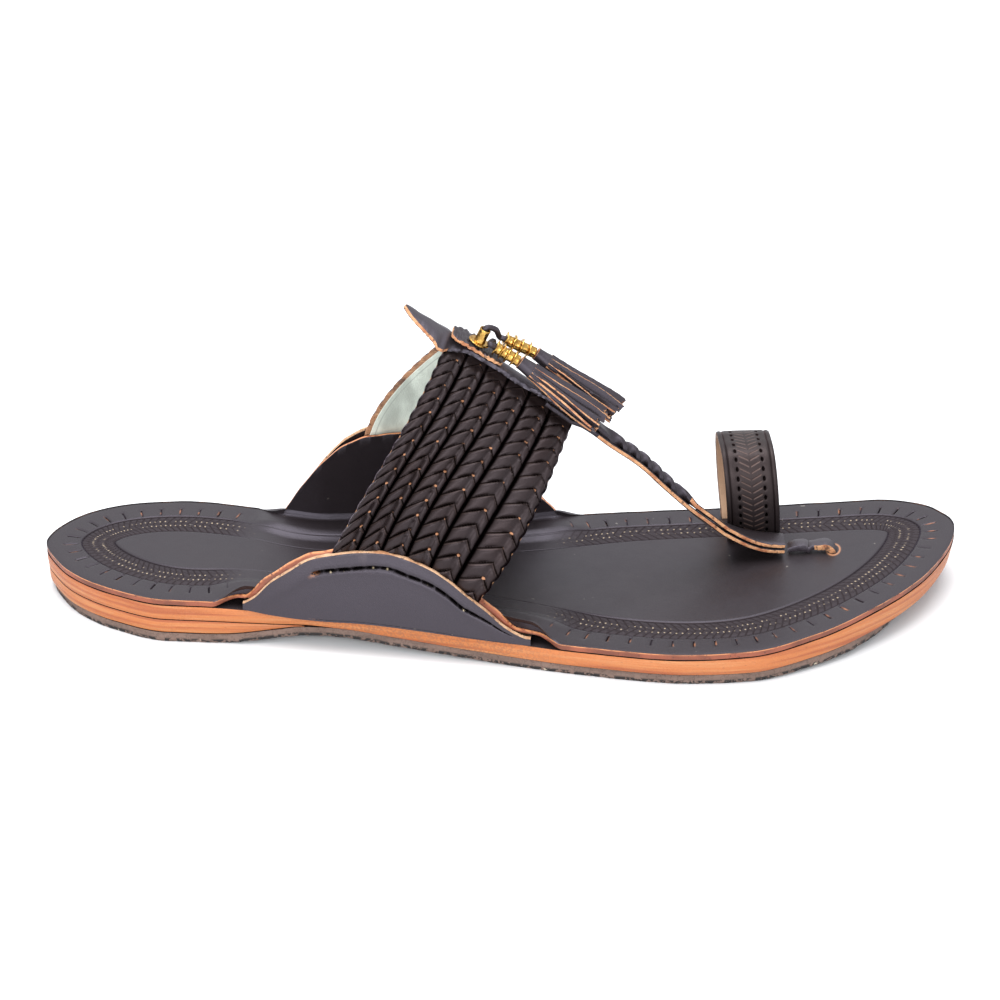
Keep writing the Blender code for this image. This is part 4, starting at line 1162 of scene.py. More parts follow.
def insole_face_rows(settings, line):
    """The insole's face from its edge inwards, as rows of points, a distance from the edge and a finish."""
    offsets = [0.0, 0.0003, 0.0008, 0.0014, 0.0022, 0.0030, 0.0038] + [0.0044 + 0.00045 * k for k in range(34)]
    rows = []
    for v, plan in zip(offsets, drawn_in(line.floor, offsets)):
        z = over_seat(line, plan, v, INSOLE)
        if v < WING_FILLET:
            z = z + line.folded * (WING_FILLET - math.sqrt(WING_FILLET**2 - (WING_FILLET - v) ** 2))
        z = z + (tooling(settings, line, v) if v > 0.0035 else 0)
        crown = 0.00025 * math.exp(-v / 0.0007)
        rows.append((np.column_stack([plan, z - crown * (1 - line.folded)]), v, 0))
    return rows


def insole_edge_rows(line):
    """The insole's cut edge from its top down, which turns into the wings beside the ears."""
    folded = line.folded[:, None]
    ear_y = np.array([ear_line(s, t) for s, t in zip(line.side.tolist(), line.share.tolist())])
    ahead = headings(line.floor)
    out = np.stack([ahead[:, 1], -ahead[:, 0]], axis=1)
    ripple = np.array([wobble(x, y, 0.0, 0.006) for x, y in line.floor.tolist()]) * 0.00018

    def row(down, inwards, height, into):
        flat = np.column_stack([line.floor + out * (ripple - inwards)[:, None], line.seats + INSOLE - down])
        lean = height * (LEAN + LEAN_MORE * height / INNER_EAR_HEIGHT)
        wing = np.column_stack([line.x, ear_y - line.side * (into + lean), line.seats + height])
        return flat * (1 - folded) + wing * folded

    rows = []
    foot = WING_LIFT + INSOLE + WING_FILLET
    for k in range(9):
        height = foot + (line.high - foot) * (k / 8)
        rows.append((row(0.0, 0.00002 * (8 - k), height, line.inset + INSOLE), -0.0001 * k, 0))
    for k, (up, across) in enumerate([(0.15, 0.90), (0.12, 0.60), (0.0, 0.40), (-0.08, 0.20)]):
        down = 0.00012 * (k + 1)
        height = line.high + INSOLE * up * 0.5 + 0.00012 * np.sin(line.u[:-1] * 900)
        rows.append((row(down, 0.0, height, line.inset + INSOLE * across), -0.0002 - down, 1))
    for k in range(5):
        t = (k + 0.5) / 5
        down = mix(0.0006, INSOLE, t)
        height = mix(line.high * 0.96, WING_LIFT + INSOLE * 0.5, t)
        rows.append((row(down, 0.00020 * t, height, line.inset), -down - 0.0001, 1))
    return rows


def close_middle(shape, u, ring, first, v, finish, flip):
    """Closes a face of the insole from its last ring, whose points start at first, to its middle line."""
    count = len(ring)
    steps = 5
    previous = list(range(first, first + count))
    middle = [(ring[i] + ring[(count - i) % count]) / 2 for i in range(PAIRS + 1)]
    partner = [i if i <= PAIRS else count - i for i in range(count)]
    for step in range(1, steps + 1):
        t = step / steps
        start = len(shape.points)
        if step < steps:
            shape.points.extend(Vector(ring[i] * (1 - t) + middle[partner[i]] * t) for i in range(count))
            now = list(range(start, start + count))
        else:
            shape.points.extend(Vector(point) for point in middle)
            now = [start + i for i in partner]
        now[0], now[PAIRS] = previous[0], previous[PAIRS]
        for i in range(count):
            j = (i + 1) % count
            corners = list(dict.fromkeys([previous[i], previous[j], now[j], now[i]]))
            if len(corners) < 3:
                continue
            low, far = v + 0.004 * (step - 1), v + 0.004 * step
            places = [(float(u[i]), low), (float(u[i + 1]), low), (float(u[i + 1]), far), (float(u[i]), far)]
            shape.face(corners[::-1] if flip else corners, finish, places[: len(corners)])
        previous = now


def insole_piece(settings, finishes):
    line = insole_line()
    offsets = [0.0012, 0.0031, 0.0066, 0.0131, 0.0185]
    beneath = [
        (np.column_stack([plan, over_seat(line, plan, v, 0)]), v, 2)
        for v, plan in zip(offsets, drawn_in(line.floor, offsets))
    ]
    stack = beneath[::-1] + insole_edge_rows(line)[::-1] + insole_face_rows(settings, line)
    shape = Shape()
    points = [[Vector(point) for point in row[0]] for row in stack]
    shape.sweep(points, lambda i, k: stack[i if i < len(beneath) else i + 1][2],
                lambda i, k: (float(line.u[k]), stack[i][1]), caps=False)
    close_middle(shape, line.u, stack[-1][0], (len(stack) - 1) * len(line.x), stack[-1][1], 0, False)
    close_middle(shape, line.u, stack[0][0], 0, stack[0][1], 2, True)
    return shape.build("tooled_insole", finishes, ["insole"], sharp=60)


class SANDAL_OT_insole(bpy.types.Operator):
    """Tooled top sheet with its wings and its stained edge"""

    bl_idname = "sandal.insole"
    bl_label = "Insole"

    def execute(self, context):
        settings = context.scene.sandal_tooling
        face = dark_leather("Tooled leather", 0.34, 0.30, functools.partial(tooled_face, settings))
        insole_piece(settings, [face, insole_rim(), suede()])
        return {"FINISHED"}


# Ears


SEAM_DROP = 0.0046  # the ears' seam below their top edge
SEAM_SPAN = (0.306, 0.529)  # shares of the length
SEAM_PITCH = 0.0042  # from one stitch of the seam to the next
SEAM_ROWS = (0.0064, 0.0057, 0.0053, 0.0050, 0.0046, 0.0042, 0.0039, 0.0035, 0.0028, 0.0018, 0.0008, 0.0002)


def ear_piece(side, name, node, finishes):
    start, end = EAR_SPAN[side]
    seam_start, seam_end = SEAM_SPAN
    columns = 240
    shape = Shape()
    rings = []
    heights = []
    for i in range(columns + 1):
        even = i / columns
        share = mix(start, end, (even + (1 - cos(pi * even)) / 2) / 2)
        high = max(ear_height(side, share), EAR * 1.3)
        corner = side_point(side, share, 0, 0)
        flange = Vector((0, -side * EAR_FLANGE, 0))
        ring, marks = [corner + flange, corner], [0.0, 0.0]
        flat = min(1.0, high / 0.014)
        reach = ease(seam_start, seam_start + 0.008, share) * ease(seam_end, seam_end - 0.009, share)
        turn = abs((share * LENGTH / SEAM_PITCH) % 1.0 - 0.5)
        open_slit = reach * (0.45 + 0.55 * ease(0.02, 0.16, turn)) * min(1.0, high / 0.010)
        drift = 0.0005 * wobble(share * LENGTH, side, 2.0, 0.009)
        belows = [mix(high, 0.0072 * flat, k / 6) for k in range(1, 7)] + [below * flat for below in SEAM_ROWS]
        for below in belows:
            seam = 0.0010 * max(0.0, 1 - abs(below / flat - SEAM_DROP) / 0.00075) ** 0.7 * open_slit
            puff = 0.00022 * ease(SEAM_DROP + 0.003, SEAM_DROP, below) * ease(0, SEAM_DROP, below)
            height = high - below
            loose = 0.00025 * wobble(share * 0.27, height * 0.5, side, 0.012) * ease(0, 0.01, height)
            near = max(0.0, 1 - abs(below / flat - SEAM_DROP) / 0.002)
            ring.append(side_point(side, share, height + drift * near * flat, (seam - puff + loose) * flat))
            marks.append(below / flat)
        edge_wave = 0.00022 * wobble(share * LENGTH, side, 0.0, 0.0022)
        for into, drop in ((0.2, -0.00004), (0.5, 0.0), (0.8, -0.00004)):
            ring.append(side_point(side, share, high + drop + edge_wave, EAR * into))
            marks.append(-into)
        for k in (0.985, 0.93, 0.86, 0.75, 0.6, 0.4, 0.2):
            ring.append(side_point(side, share, mix(EAR, high, k), EAR))
            marks.append(high * (1 - k))
        ring.append(side_point(side, share, EAR, EAR))
        ring.append(corner + flange + Vector((0, 0, EAR)))
        marks += [high, high]
        rings.append(ring)
        heights.append(marks)
    length = walked([ring[20] for ring in rings])

    def finish(i, k):
        if 19 <= k <= 22:
            return 1
        return 0 if k < 19 else 2

    shape.sweep(rings, finish, lambda i, k: (length[i], heights[i][k % len(rings[0])]))
    return shape.build(name, finishes, [node])


def ear_face(raw, graph, tone, rough, height):
    """The ears' face: a seam with painted shade in its slit, light specks of thread, and scuffs where the
    leather bends.
    """
    u, v = graph.pattern()
    drift = graph.times(graph.less(graph.noise(90.0, 1.0), 0.5), 0.0010)
    off = graph.less(graph.less(v, SEAM_DROP), drift)
    x = graph.place()[0]
    start, end = (along(share) for share in SEAM_SPAN)
    reach = graph.times(graph.step(start, start + 0.006 * LENGTH, x), graph.step(end, end - 0.009 * LENGTH, x))
    turn = graph.fract(graph.times(u, 1 / SEAM_PITCH))
    open_slit = graph.step(0.02, 0.16, graph.math("PINGPONG", turn, 0.5))
    seam = graph.times(graph.ridge(off, 0.0, 0.00085), reach, graph.add(0.5, graph.times(open_slit, 0.5)))
    thread = graph.times(graph.ridge(off, 0.0003, 0.00035), graph.ridge(turn, 0.5, 0.12), reach)
    shown = graph.step(0.52, 0.62, graph.noise(260.0, 1.0))
    wrinkles = graph.noise(140.0, 3.0, (1.0, 1.0, 0.25))
    scuffs = graph.step(0.62, 0.80, wrinkles)
    tone = graph.paint(tone, (0.11, 0.085, 0.08), scuffs, 0.25)
    # painted shade: the seam's slit is painted black
    tone = graph.paint(tone, (0.004, 0.003, 0.003), seam)
    torn = graph.step(0.35, 0.55, graph.noise(160.0, 2.0))
    tone = graph.paint(tone, (0.30, 0.15, 0.075), graph.ridge(off, 0.0010, 0.00035), reach, torn, raw)
    knot = graph.times(graph.ridge(x, along(0.311), 0.0022), graph.ridge(off, 0.0002, 0.0013))
    knot = graph.times(knot, graph.step(0.42, 0.56, graph.noise(900.0, 2.0)))
    tone = graph.paint(tone, (0.20, 0.085, 0.035), knot)
    tone = graph.paint(tone, (0.46, 0.38, 0.24), thread, shown)
    height = graph.less(graph.add(height, graph.times(wrinkles, 0.3)), graph.times(seam, 4.0))
    # the seam's sheen is dimmed through Metallic too: painted shade, except where specks of thread show
    return tone, rough, height, graph.times(seam, graph.less(1.0, graph.times(thread, shown)))


def ear_leather(name, gloss, raw):
    """The leather of an ear; raw is how much of its seam's lower lip is torn open."""
    return dark_leather(name, 0.33, 0.25, functools.partial(ear_face, raw), gloss)


class SANDAL_OT_ears(bpy.types.Operator):
    """The two half-moon ears with their raw top edges and seams"""

    bl_idname = "sandal.ears"
    bl_label = "Ears"

    def execute(self, context):
        face = ear_leather("Ear leather", 0.62, 0.0)
        cut = cut_leather("Ear edge", (0.46, 0.28, 0.165, 1), (0.30, 0.135, 0.06, 1))
        # a duller copy of the ear leather: painted shade on the inner ear's inside face, which lies in shade
        inside = ear_leather("Inner ear leather", 0.30, 0.9)
        ear_piece(OUTER, "outer_half_moon", "outer_ear", [face, cut, suede()])
        ear_piece(INNER, "inner_half_moon", "inner_ear", [face, cut, inside])
        return {"FINISHED"}


# Band


def smooth_band_line(v, held_steps, free_steps):
    """The band's inner face as part.py draws it, in finer steps, from the outer ear to the inner ear."""
    high = INSTEP_HEIGHT * smooth_through(BAND, RIDGE_HIGH, v)
    ridge = Vector((along(smooth_through(BAND, RIDGE_AT, v)), BALL_WIDTH * mix(*RIDGE_SIDE, v), high))
    inset = EAR + GAP + UPPER_WALL
    halves = []
    for side, tuck, leave in ((OUTER, TUCK_OUT, LEAVE_OUT), (INNER, TUCK_IN, LEAVE_IN)):
        tuck, leave = smooth_through(BAND, tuck, v), smooth_through(BAND, leave, v)
        top = ear_height(side, leave) + EXIT_ABOVE
        low = min(TUCK_HEIGHT, top * 0.5)
        held = [
            side_point(side, mix(tuck, leave, i / held_steps), mix(low, top, i / held_steps), inset)
            for i in range(held_steps + 1)
        ]
        start = held[-1]
        reach = (ridge - start).length * REACH
        rising = (held[-1] - side_point(side, mix(tuck, leave, 0.5), mix(low, top, 0.5), inset)).normalized()
        ahead, across, up = PEAK[side]
        arriving = Vector((ahead, -side * across, up)).normalized()
        points = (start, start + rising * reach, ridge - arriving * reach, ridge)
        free = [bezier(points, (i + 1) / free_steps) for i in range(free_steps)]
        halves.append(held + free)
    return halves[0] + halves[1][-2::-1]


BRAID_DEEP = 0.0010  # how far the grooves between the lobes reach into the wall
FRONT_SHIFT = 0.06  # the front lobes lie this share of a pitch off the rear ones


def lobe(settings, a, q):
    """Height of a braided strip, 0 to 1: a is the place across it, q the place along it in pitches."""
    width = LENGTH * (BAND[-1][RIDGE_AT] - BAND[0][RIDGE_AT]) / STRIPS
    rear = a < settings.apex
    slope = np.where(
        rear,
        (settings.apex - a) / settings.apex * settings.rear_rise,
        (a - settings.apex) / (1 - settings.apex) * settings.front_rise,
    ) / settings.pitch
    turn = (q + slope + np.where(rear, 0.0, FRONT_SHIFT)) % 1.0
    swell = 0.62 * np.clip(turn / 0.16, 0, 1) ** 0.7 + 0.38 * np.clip(turn / 0.80, 0, 1)
    dome = np.where(turn < 0.88, swell, np.cos(np.pi / 2 * np.clip((turn - 0.88) / 0.10, 0, 1)) ** 0.7)
    side = np.clip(a, 0.0, 1.0)
    edge_round = np.clip(1 - np.abs(2 * side - 1) ** 2.8, 0, 1) ** 0.62
    crease = 1 - 0.45 * np.exp(-(((a - settings.apex) * width) / 0.0005) ** 2)
    return edge_round * (0.22 + 0.78 * dome * crease)


def braid_faces(settings):
    """Height field and points of the braided side of the band."""
    per_strip, held, free = 15, 26, 118
    columns = []
    for strip in range(STRIPS):
        columns += [strip + k / per_strip for k in range(per_strip)]
    columns.append(float(STRIPS))
    inner = np.array([[tuple(p) for p in smooth_band_line(c / STRIPS, held, free)] for c in columns])
    middle = inner.shape[1] // 2
    d_across = np.gradient(inner, axis=0)
    d_along = np.gradient(inner, axis=1)
    normal = np.cross(d_along, d_across)
    normal /= np.linalg.norm(normal, axis=2)[:, :, None]
    if normal[len(columns) // 2, middle, 2] < 0:
        normal = -normal
    # every column of a strip shares its middle's distance from the ridge
    walk = np.zeros(inner.shape[:2])
    stepped = np.linalg.norm(np.diff(inner, axis=1), axis=2)
    distance = np.concatenate([np.zeros((len(columns), 1)), np.cumsum(stepped, axis=1)], axis=1)
    distance = distance[:, middle : middle + 1] - distance
    for c, value in enumerate(columns):
        strip = min(int(value), STRIPS - 1)
        walk[c] = distance[strip * per_strip + per_strip // 2]
    tight = 0.014
    far = np.abs(walk)
    extra = (1 / settings.ridge_pitch - 1 / settings.pitch) * tight * (1 - np.exp(-far / tight))
    climb = -(far / settings.pitch + extra)
    heights = np.zeros(inner.shape[:2])
    places = np.zeros((*inner.shape[:2], 2))
    for c, value in enumerate(columns):
        strip = min(int(value), STRIPS - 1)
        a = value - strip
        q = climb[c] + strip * 0.37 + np.where(walk[c] < 0, 0.21, 0.0)
        heights[c] = lobe(settings, np.full(len(q), a), q)
        places[c, :, 0] = value
        places[c, :, 1] = q + 40.0
    near_ridge = np.clip((np.abs(walk) - settings.fade * 0.75) / (settings.fade * 0.9), 0, 1)
    tucked = np.clip(np.minimum(np.arange(inner.shape[1]), np.arange(inner.shape[1])[::-1]) / held, 0, 1)
    loose = np.clip((tucked - 0.75) / 0.25, 0, 1)[None, :]
    raised = near_ridge * loose
    lift = UPPER_WALL + raised * (heights * (STRIP_RAISE + BRAID_DEEP + 0.0003) - BRAID_DEEP)
    across = d_across / np.linalg.norm(d_across, axis=2)[:, :, None]
    outer = inner + normal * lift[:, :, None]
    # the outermost strips bulge at every lobe, which scallops the band's edges
    for inwards, share in enumerate((1.0, 0.8, 0.45)):
        for c, sign in ((inwards, -1), (len(columns) - 1 - inwards, 1)):
            turn = places[c, :, 1] % 1.0
            bulge = (np.sin(np.pi * turn) ** 0.7 - 0.5) * 0.0007 * share * raised[c]
            outer[c] += across[c] * (sign * bulge)[:, None]
    base = inner + normal * (UPPER_WALL * 0.42)
    inside = inner + normal * (UPPER_WALL * 0.36)
    return columns, outer, base, inner, inside, places


def braided_face(settings, graph, tone, rough, height):
    """The braids' leather: painted shade between the lobes and in the grooves, sheen on them, a raw dot of tan
    at every apex.
    """
    u, v = graph.pattern()
    a = graph.fract(u)
    apex = settings.apex
    rear = graph.math("LESS_THAN", a, apex)
    rear_drop = graph.times(graph.less(apex, a), settings.rear_rise / settings.pitch / apex)
    front_slope = settings.front_rise / settings.pitch / (1 - apex)
    front_drop = graph.add(graph.times(graph.less(a, apex), front_slope), FRONT_SHIFT)
    drop = graph.add(graph.times(rear, rear_drop), graph.times(graph.less(1.0, rear), front_drop))
    turn = graph.fract(graph.add(v, drop))
    valley = graph.most(graph.step(0.93, 0.98, turn), graph.step(0.12, 0.01, turn))
    groove = graph.step(0.11, 0.03, graph.math("PINGPONG", a, 0.5))
    lip = graph.times(graph.ridge(turn, 0.90, 0.04), graph.less(1.0, groove))
    browned = graph.noise(75.0, 2.0)
    tone = graph.paint(tone, (0.022, 0.011, 0.009), browned, 0.5)
    tone = graph.paint(tone, (0.10, 0.065, 0.055), lip, 0.35)
    # painted shade: the valleys between the lobes and the grooves between the strips
    tone = graph.paint(tone, (0.008, 0.005, 0.004), valley, 0.85)
    tone = graph.paint(tone, (0.005, 0.003, 0.003), groove, 0.92)
    at_apex = graph.times(graph.less(a, apex), 9.0)
    spot = graph.times(graph.less(graph.fract(v), 0.93), 7.0)
    away = graph.away(at_apex, spot)
    uneven = graph.times(graph.noise(700.0, 2.0), 0.7)
    dot = graph.step(0.62, 0.30, graph.add(away, graph.less(uneven, 0.35)))
    shown = graph.step(0.44, 0.52, graph.noise(240.0, 1.0))
    tone = graph.paint(tone, (0.42, 0.20, 0.10), dot, shown)
    rough = graph.add(rough, graph.times(valley, 0.3))
    height = graph.add(height, graph.times(graph.noise(420.0, 3.0), 0.6))
    # dull dims the sheen: painted shade in the valleys and grooves, and random browned patches
    dull = graph.most(valley, groove, graph.times(browned, 0.55))
    return tone, rough, height, graph.times(dull, graph.less(1.0, graph.times(dot, shown)))


def lining_leather():
    """The pale grey-green lining, with soft creases and a darker line along its border."""
    made, graph = finish_of("Lining")
    grain = graph.group(leather_grain(), fineness=0.8, creases=0.6)
    creases = graph.noise(70.0, 5.0, (1.6, 1.6, 0.5))
    tone = graph.blend(graph.step(0.30, 0.70, creases), chosen("lining", 0.62), chosen("lining", 1.18))
    u, _ = graph.pattern()
    border = graph.most(graph.ridge(u, 0.40, 0.045), graph.ridge(u, STRIPS - 0.40, 0.045))
    tone = graph.blend(graph.times(border, 0.55), tone, chosen("lining", 0.35))
    graph.wire(Base_Color=tone, Roughness=graph.add(0.55, graph.times(creases, 0.2)))
    graph.relief(graph.add(grain["Height"], creases), 0.0004, 0.5)
    return made


def band_piece(settings, outer, base, places):
    """The band of braids, with the edges of its wall."""
    count, long = outer.shape[:2]
    last = count - 1
    mid = (outer[[0, last]] + base[[0, last]]) / 2
    back = list(range(last, -1, -3))
    order = [outer[c] for c in range(count)] + [mid[1]] + [base[c] for c in back] + [mid[0]]
    where = list(range(count)) + [last] + back + [0]
    rings = [[Vector(row[i]) for row in order] for i in range(long)]

    def place(i, k):
        return tuple(places[where[k % len(order)], i].tolist())

    face = functools.partial(braided_face, settings)
    leather = dark_leather("Braid leather", 0.31, 0.35, face, 0.33, (0.96, 0.84, 0.92, 1))
    edge_leather = cut_leather("Band edge", (0.34, 0.17, 0.09, 1), (0.10, 0.045, 0.03, 1))
    shape = Shape()
    shape.sweep(rings, lambda i, k: 0 if -1 < k < last else 1, place)
    return shape.build("braided_band", [leather, edge_leather], ["upper"], sharp=75)


def lining_piece(columns, inner, inside):
    """The lining, which stops short of the band's rear and front edges."""
    kept = [c for c, value in enumerate(columns) if 0.16 < value < STRIPS - 0.16]
    wide = len(kept)
    faces = np.concatenate([inside[kept], inner[kept][::-1]])
    rings = [[Vector(row[i]) for row in faces] for i in range(0, inner.shape[1], 2)]

    def place(i, k):
        k %= wide * 2
        return (columns[kept[k if k < wide else wide * 2 - 1 - k]], i / 20)

    shape = Shape()
    shape.sweep(rings, lambda i, k: 0, place)
    return shape.build("band_lining", [lining_leather()], [], sharp=60)


class SANDAL_OT_band(bpy.types.Operator):
    """The band of six braids over the instep, with its lining"""

    bl_idname = "sandal.band"
    bl_label = "Braided band"

    def execute(self, context):
        settings = context.scene.sandal_braid
        columns, outer, base, inner, inside, places = braid_faces(settings)
        band_piece(settings, outer, base, places)
        lining_piece(columns, inner, inside)
        return {"FINISHED"}


# Toe strap


def strap_piece(name, rows, shares, nodes, finishes, ragged, shaded_span=(0, 0), waist=0.0, seed=0.0):
    """A strap along a line's rows; its cut edges get painted shade between the two shares of the length."""
    rings = []
    for share in shares:
        middle, half, up = frame_on(rows, share)
        half = half * (1 - waist * ease(0.444, 0.452, share) * ease(0.556, 0.530, share))
        droop = smooth_through(rows, DROOP, share)
        ring = rounded_strip(middle, half, up, STRAP, 0.00012, ragged, seed)
        wide = half.length
        out = half.normalized()
        drops = [droop * min(1.0, abs((point - middle).dot(out)) / wide) ** 1.4 for point in ring]
        rings.append([point - up * drop for point, drop in zip(ring, drops)])
    shape = Shape()
    usual = strip_finish()

    def finish(i, k):
        kind = usual(i, k)
        # cut edges in the shaded span take the face's dark finish: painted shade
        dark = shaded_span[0] < shares[min(i, len(shares) - 1)] < shaded_span[1] or k in (4, 7, 12, 15)
        return 0 if kind == 1 and dark else kind

    shape.sweep(rings, finish, lambda i, k: (shares[i], (k % 16) / 16))
    return shape.build(name, finishes, nodes, sharp=50)


def twist_rings(steps):
    """The twisted part of the top layer: two turned cords of one strip, flat at both ends."""
    line = lower_layer_rows()
    first, last = TWIST_SPAN
    rings = []
    for i in range(steps + 1):
        t = i / steps
        middle, half, up = frame_on(line, mix(first - 0.004, last + 0.002, t))
        across = half.normalized()
        flat = 1 - ease(0, 0.12, t) * (1 - ease(0.84, 1, t))
        wide = mix(TWIST_WIDTH * 1.40, half.length * 2, flat) / 2
        thick = mix(TWIST_THICKNESS * 1.50, STRAP, flat) / 2
        high = STRAP + mix(TWIST_WIDTH * 0.36, LAYER_GAP + STRAP / 2, flat)
        centre = middle + up * high - across * TWIST_OFFSET * 1.2 * (1 - flat)
        turn = pi * HALF_TURNS * ease(0.05, 0.95, t)
        ring = []
        for k in range(16):
            angle = pi * (k + 0.5) / 8
            c, s = cos(angle), sin(angle)
            a = wide * math.copysign(abs(c) ** 0.55, c)
            waist = mix(0.62, 1.0, flat) + mix(0.38, 0.0, flat) * abs(c)
            b = thick * math.copysign(abs(s) ** 0.6, s) * waist
            sideways = a * cos(turn) - b * sin(turn)
            ring.append(centre + across * sideways + up * (a * sin(turn) + b * cos(turn)))
        rings.append(ring)
    return rings


class SANDAL_OT_toe_strap(bpy.types.Operator):
    """Both layers of the toe strap, with the leaf behind the band and the twisted part"""

    bl_idname = "sandal.toe_strap"
    bl_label = "Toe strap"

    def execute(self, context):
        face, cut, under = dark_leather(), cut_leather(), suede()
        lower = lower_layer_rows()
        shares = spread(lower[0][0], lower[-1][0], 150)
        # the lower layer's cut edges are painted dark up to 0.603: painted shade under the tassels
        strap_piece("toe_strap_lower_layer", lower, shares, [], [face, cut, under], 0.00030, (0.0, 0.603))
        line = top_layer_rows()
        shares = spread(line[0][0], TWIST_SPAN[0] + 0.004, 190)
        leaf_face = dark_leather("Strap leather", 0.36, 0.4, gloss=0.60)
        leaf_top = dark_leather("Leaf leather", 0.34, 0.3, gloss=0.95)
        # the cover's cut edges are painted dark from 0.449 to 0.574: painted shade under the ruffle and the
        # tassels
        strap_piece("leaf_and_ridge_cover", line, shares, ["centre_strap"], [leaf_top, cut, under],
                    0.00055, (0.449, 0.574), 0.34, 0.3)
        shape = Shape()
        rings = twist_rings(260)
        shape.sweep(rings, lambda i, k: 1 if k in (0, 15, 7, 8) and i > 225 else 0)
        shape.build("twisted_strap", [leaf_face, cut], ["centre_strap"], sharp=50)
        shares = spread(TWIST_SPAN[1] - 0.002, line[-1][0], 76)
        strap_piece("strap_end", line, shares, ["centre_strap"], [leaf_face, cut, under], 0.00035, seed=0.7)
        return {"FINISHED"}


def pleated_rings():
    """The ruffled strip's cross-sections: flat on the ridge, with soft uneven crinkles along both edges."""
    line = top_layer_rows()
    rings = []
    steps = 170
    section = [(-1, 0), (-0.5, 0), (0, 0), (0.5, 0), (1, 0), (1.02, 0.5), (1, 1), (0.75, 1), (0.5, 1),
               (0.25, 1), (0, 1), (-0.25, 1), (-0.5, 1), (-0.75, 1), (-1, 1), (-1.02, 0.5)]
    for i in range(steps + 1):
        t = i / steps
        middle, half, up = frame_on(line, mix(*RUFFLE_SPAN, t))
        out = half.normalized()
        ends = min(1.0, 6 * t, 6 * (1 - t)) ** 0.5
        ring = []
        for across, high in section:
            side = math.copysign(1.0, across)
            crinkle = sin(2 * pi * (t * 8 + 0.35 * wobble(t, side, 0, 0.11)) + side)
            rough = wobble(t, across * 0.5, 3.0, 0.022)
            wide = RUFFLE_WIDTH / 2 * (0.60 + 0.44 * ends) * (1 + 0.020 * crinkle + 0.035 * rough)
            ripple = abs(across) ** 2.2 * (0.00016 * (1 + crinkle) + 0.00020 * abs(rough)) * ends
            folds = 0.00016 * sin(16 * across + 22 * t + 2 * rough) + 0.00020 * rough
            top = RUFFLE * (0.80 + 0.25 * (1 - across * across)) + folds
            ring.append(middle + out * across * wide + up * (STRAP + GAP + ripple + high * top))
        rings.append(ring)
    return rings


class SANDAL_OT_ruffle(bpy.types.Operator):
    """The pleated strip on the ridge, under the eyelet"""

    bl_idname = "sandal.ruffle"
    bl_label = "Ruffled strip"

    def execute(self, context):
        shape = Shape()
        shape.sweep(pleated_rings(), lambda i, k: 1 if k in (4, 5, 14, 15, -1) else 0)
        shape.build("pleated_strip", [dark_leather("Strap leather"), cut_leather()], ["ruffled_strip"],
                    sharp=60)
        return {"FINISHED"}


# Toe ring and the stitches in front of the toe strap


RING_GROOVE, RING_HOLES = 0.0015, 0.0040  # distances from the ring's edges
RING_PITCH = 0.0030  # from one stitch hole to the next


def ring_face(graph, tone, rough, height):
    """The toe ring's face: a groove along both edges, two rows of stitch holes and chevrons between."""
    u, v = graph.pattern()
    grooves = graph.most(*(graph.ridge(v, at, 0.0004) for at in (RING_GROOVE, RING_BAND - RING_GROOVE)))
    turn = graph.fract(graph.times(u, 1 / RING_PITCH))
    holes = None
    for row in (RING_HOLES, RING_BAND - RING_HOLES):
        long = graph.times(graph.less(turn, 0.5), RING_PITCH / 0.00082)
        short = graph.times(graph.less(v, row), 1 / 0.00044)
        hole = graph.step(1.15, 0.75, graph.away(long, short))
        holes = hole if holes is None else graph.most(holes, hole)
    off = graph.math("ABSOLUTE", graph.less(v, RING_BAND / 2))
    slant = graph.times(off, 0.55)
    strokes = graph.fract(graph.times(graph.less(u, slant), 1 / 0.0020))
    stroke = graph.times(graph.ridge(strokes, 0.5, 0.20), graph.step(0.0034, 0.0028, off))
    stroke = graph.times(stroke, graph.step(0.0001, 0.0005, off))
    # painted shade: the grooves are painted darker and the stitch holes black
    tone = graph.paint(tone, (0.008, 0.005, 0.005), grooves, 0.8)
    tone = graph.paint(tone, (0.10, 0.065, 0.055), stroke, 0.7)
    tone = graph.paint(tone, (0.003, 0.002, 0.002), holes)
    carved = graph.most(grooves, holes, graph.times(stroke, 0.8))
    # dull dims the sheen in the grooves and holes: painted shade
    dull = graph.most(graph.times(grooves, 0.8), holes)
    return tone, rough, graph.less(graph.times(height, 0.7), graph.times(carved, 2.2)), dull


def tan_suede():
    """The ring's undyed inside."""
    made, graph = finish_of("Tan suede")
    nap = graph.noise(1300.0, 4.0)
    patches = graph.noise(120.0, 3.0)
    tone = graph.blend(patches, (0.32, 0.19, 0.115, 1), (0.56, 0.37, 0.25, 1))
    graph.wire(Base_Color=tone, Roughness=graph.add(0.7, graph.times(nap, 0.25)))
    graph.relief(nap, 0.0004, 0.6)
    return made


STITCH_LINE = [
    # both stitches in front of the strap: share of the length, height in shares of the lace's thickness
    (0.8176, 0.30),
    (0.8240, 0.62),
    (0.8330, 0.55),
    (0.8385, 0.20),
    (0.8440, 0.62),
    (0.8530, 0.66),
    (0.8590, 0.45),
]


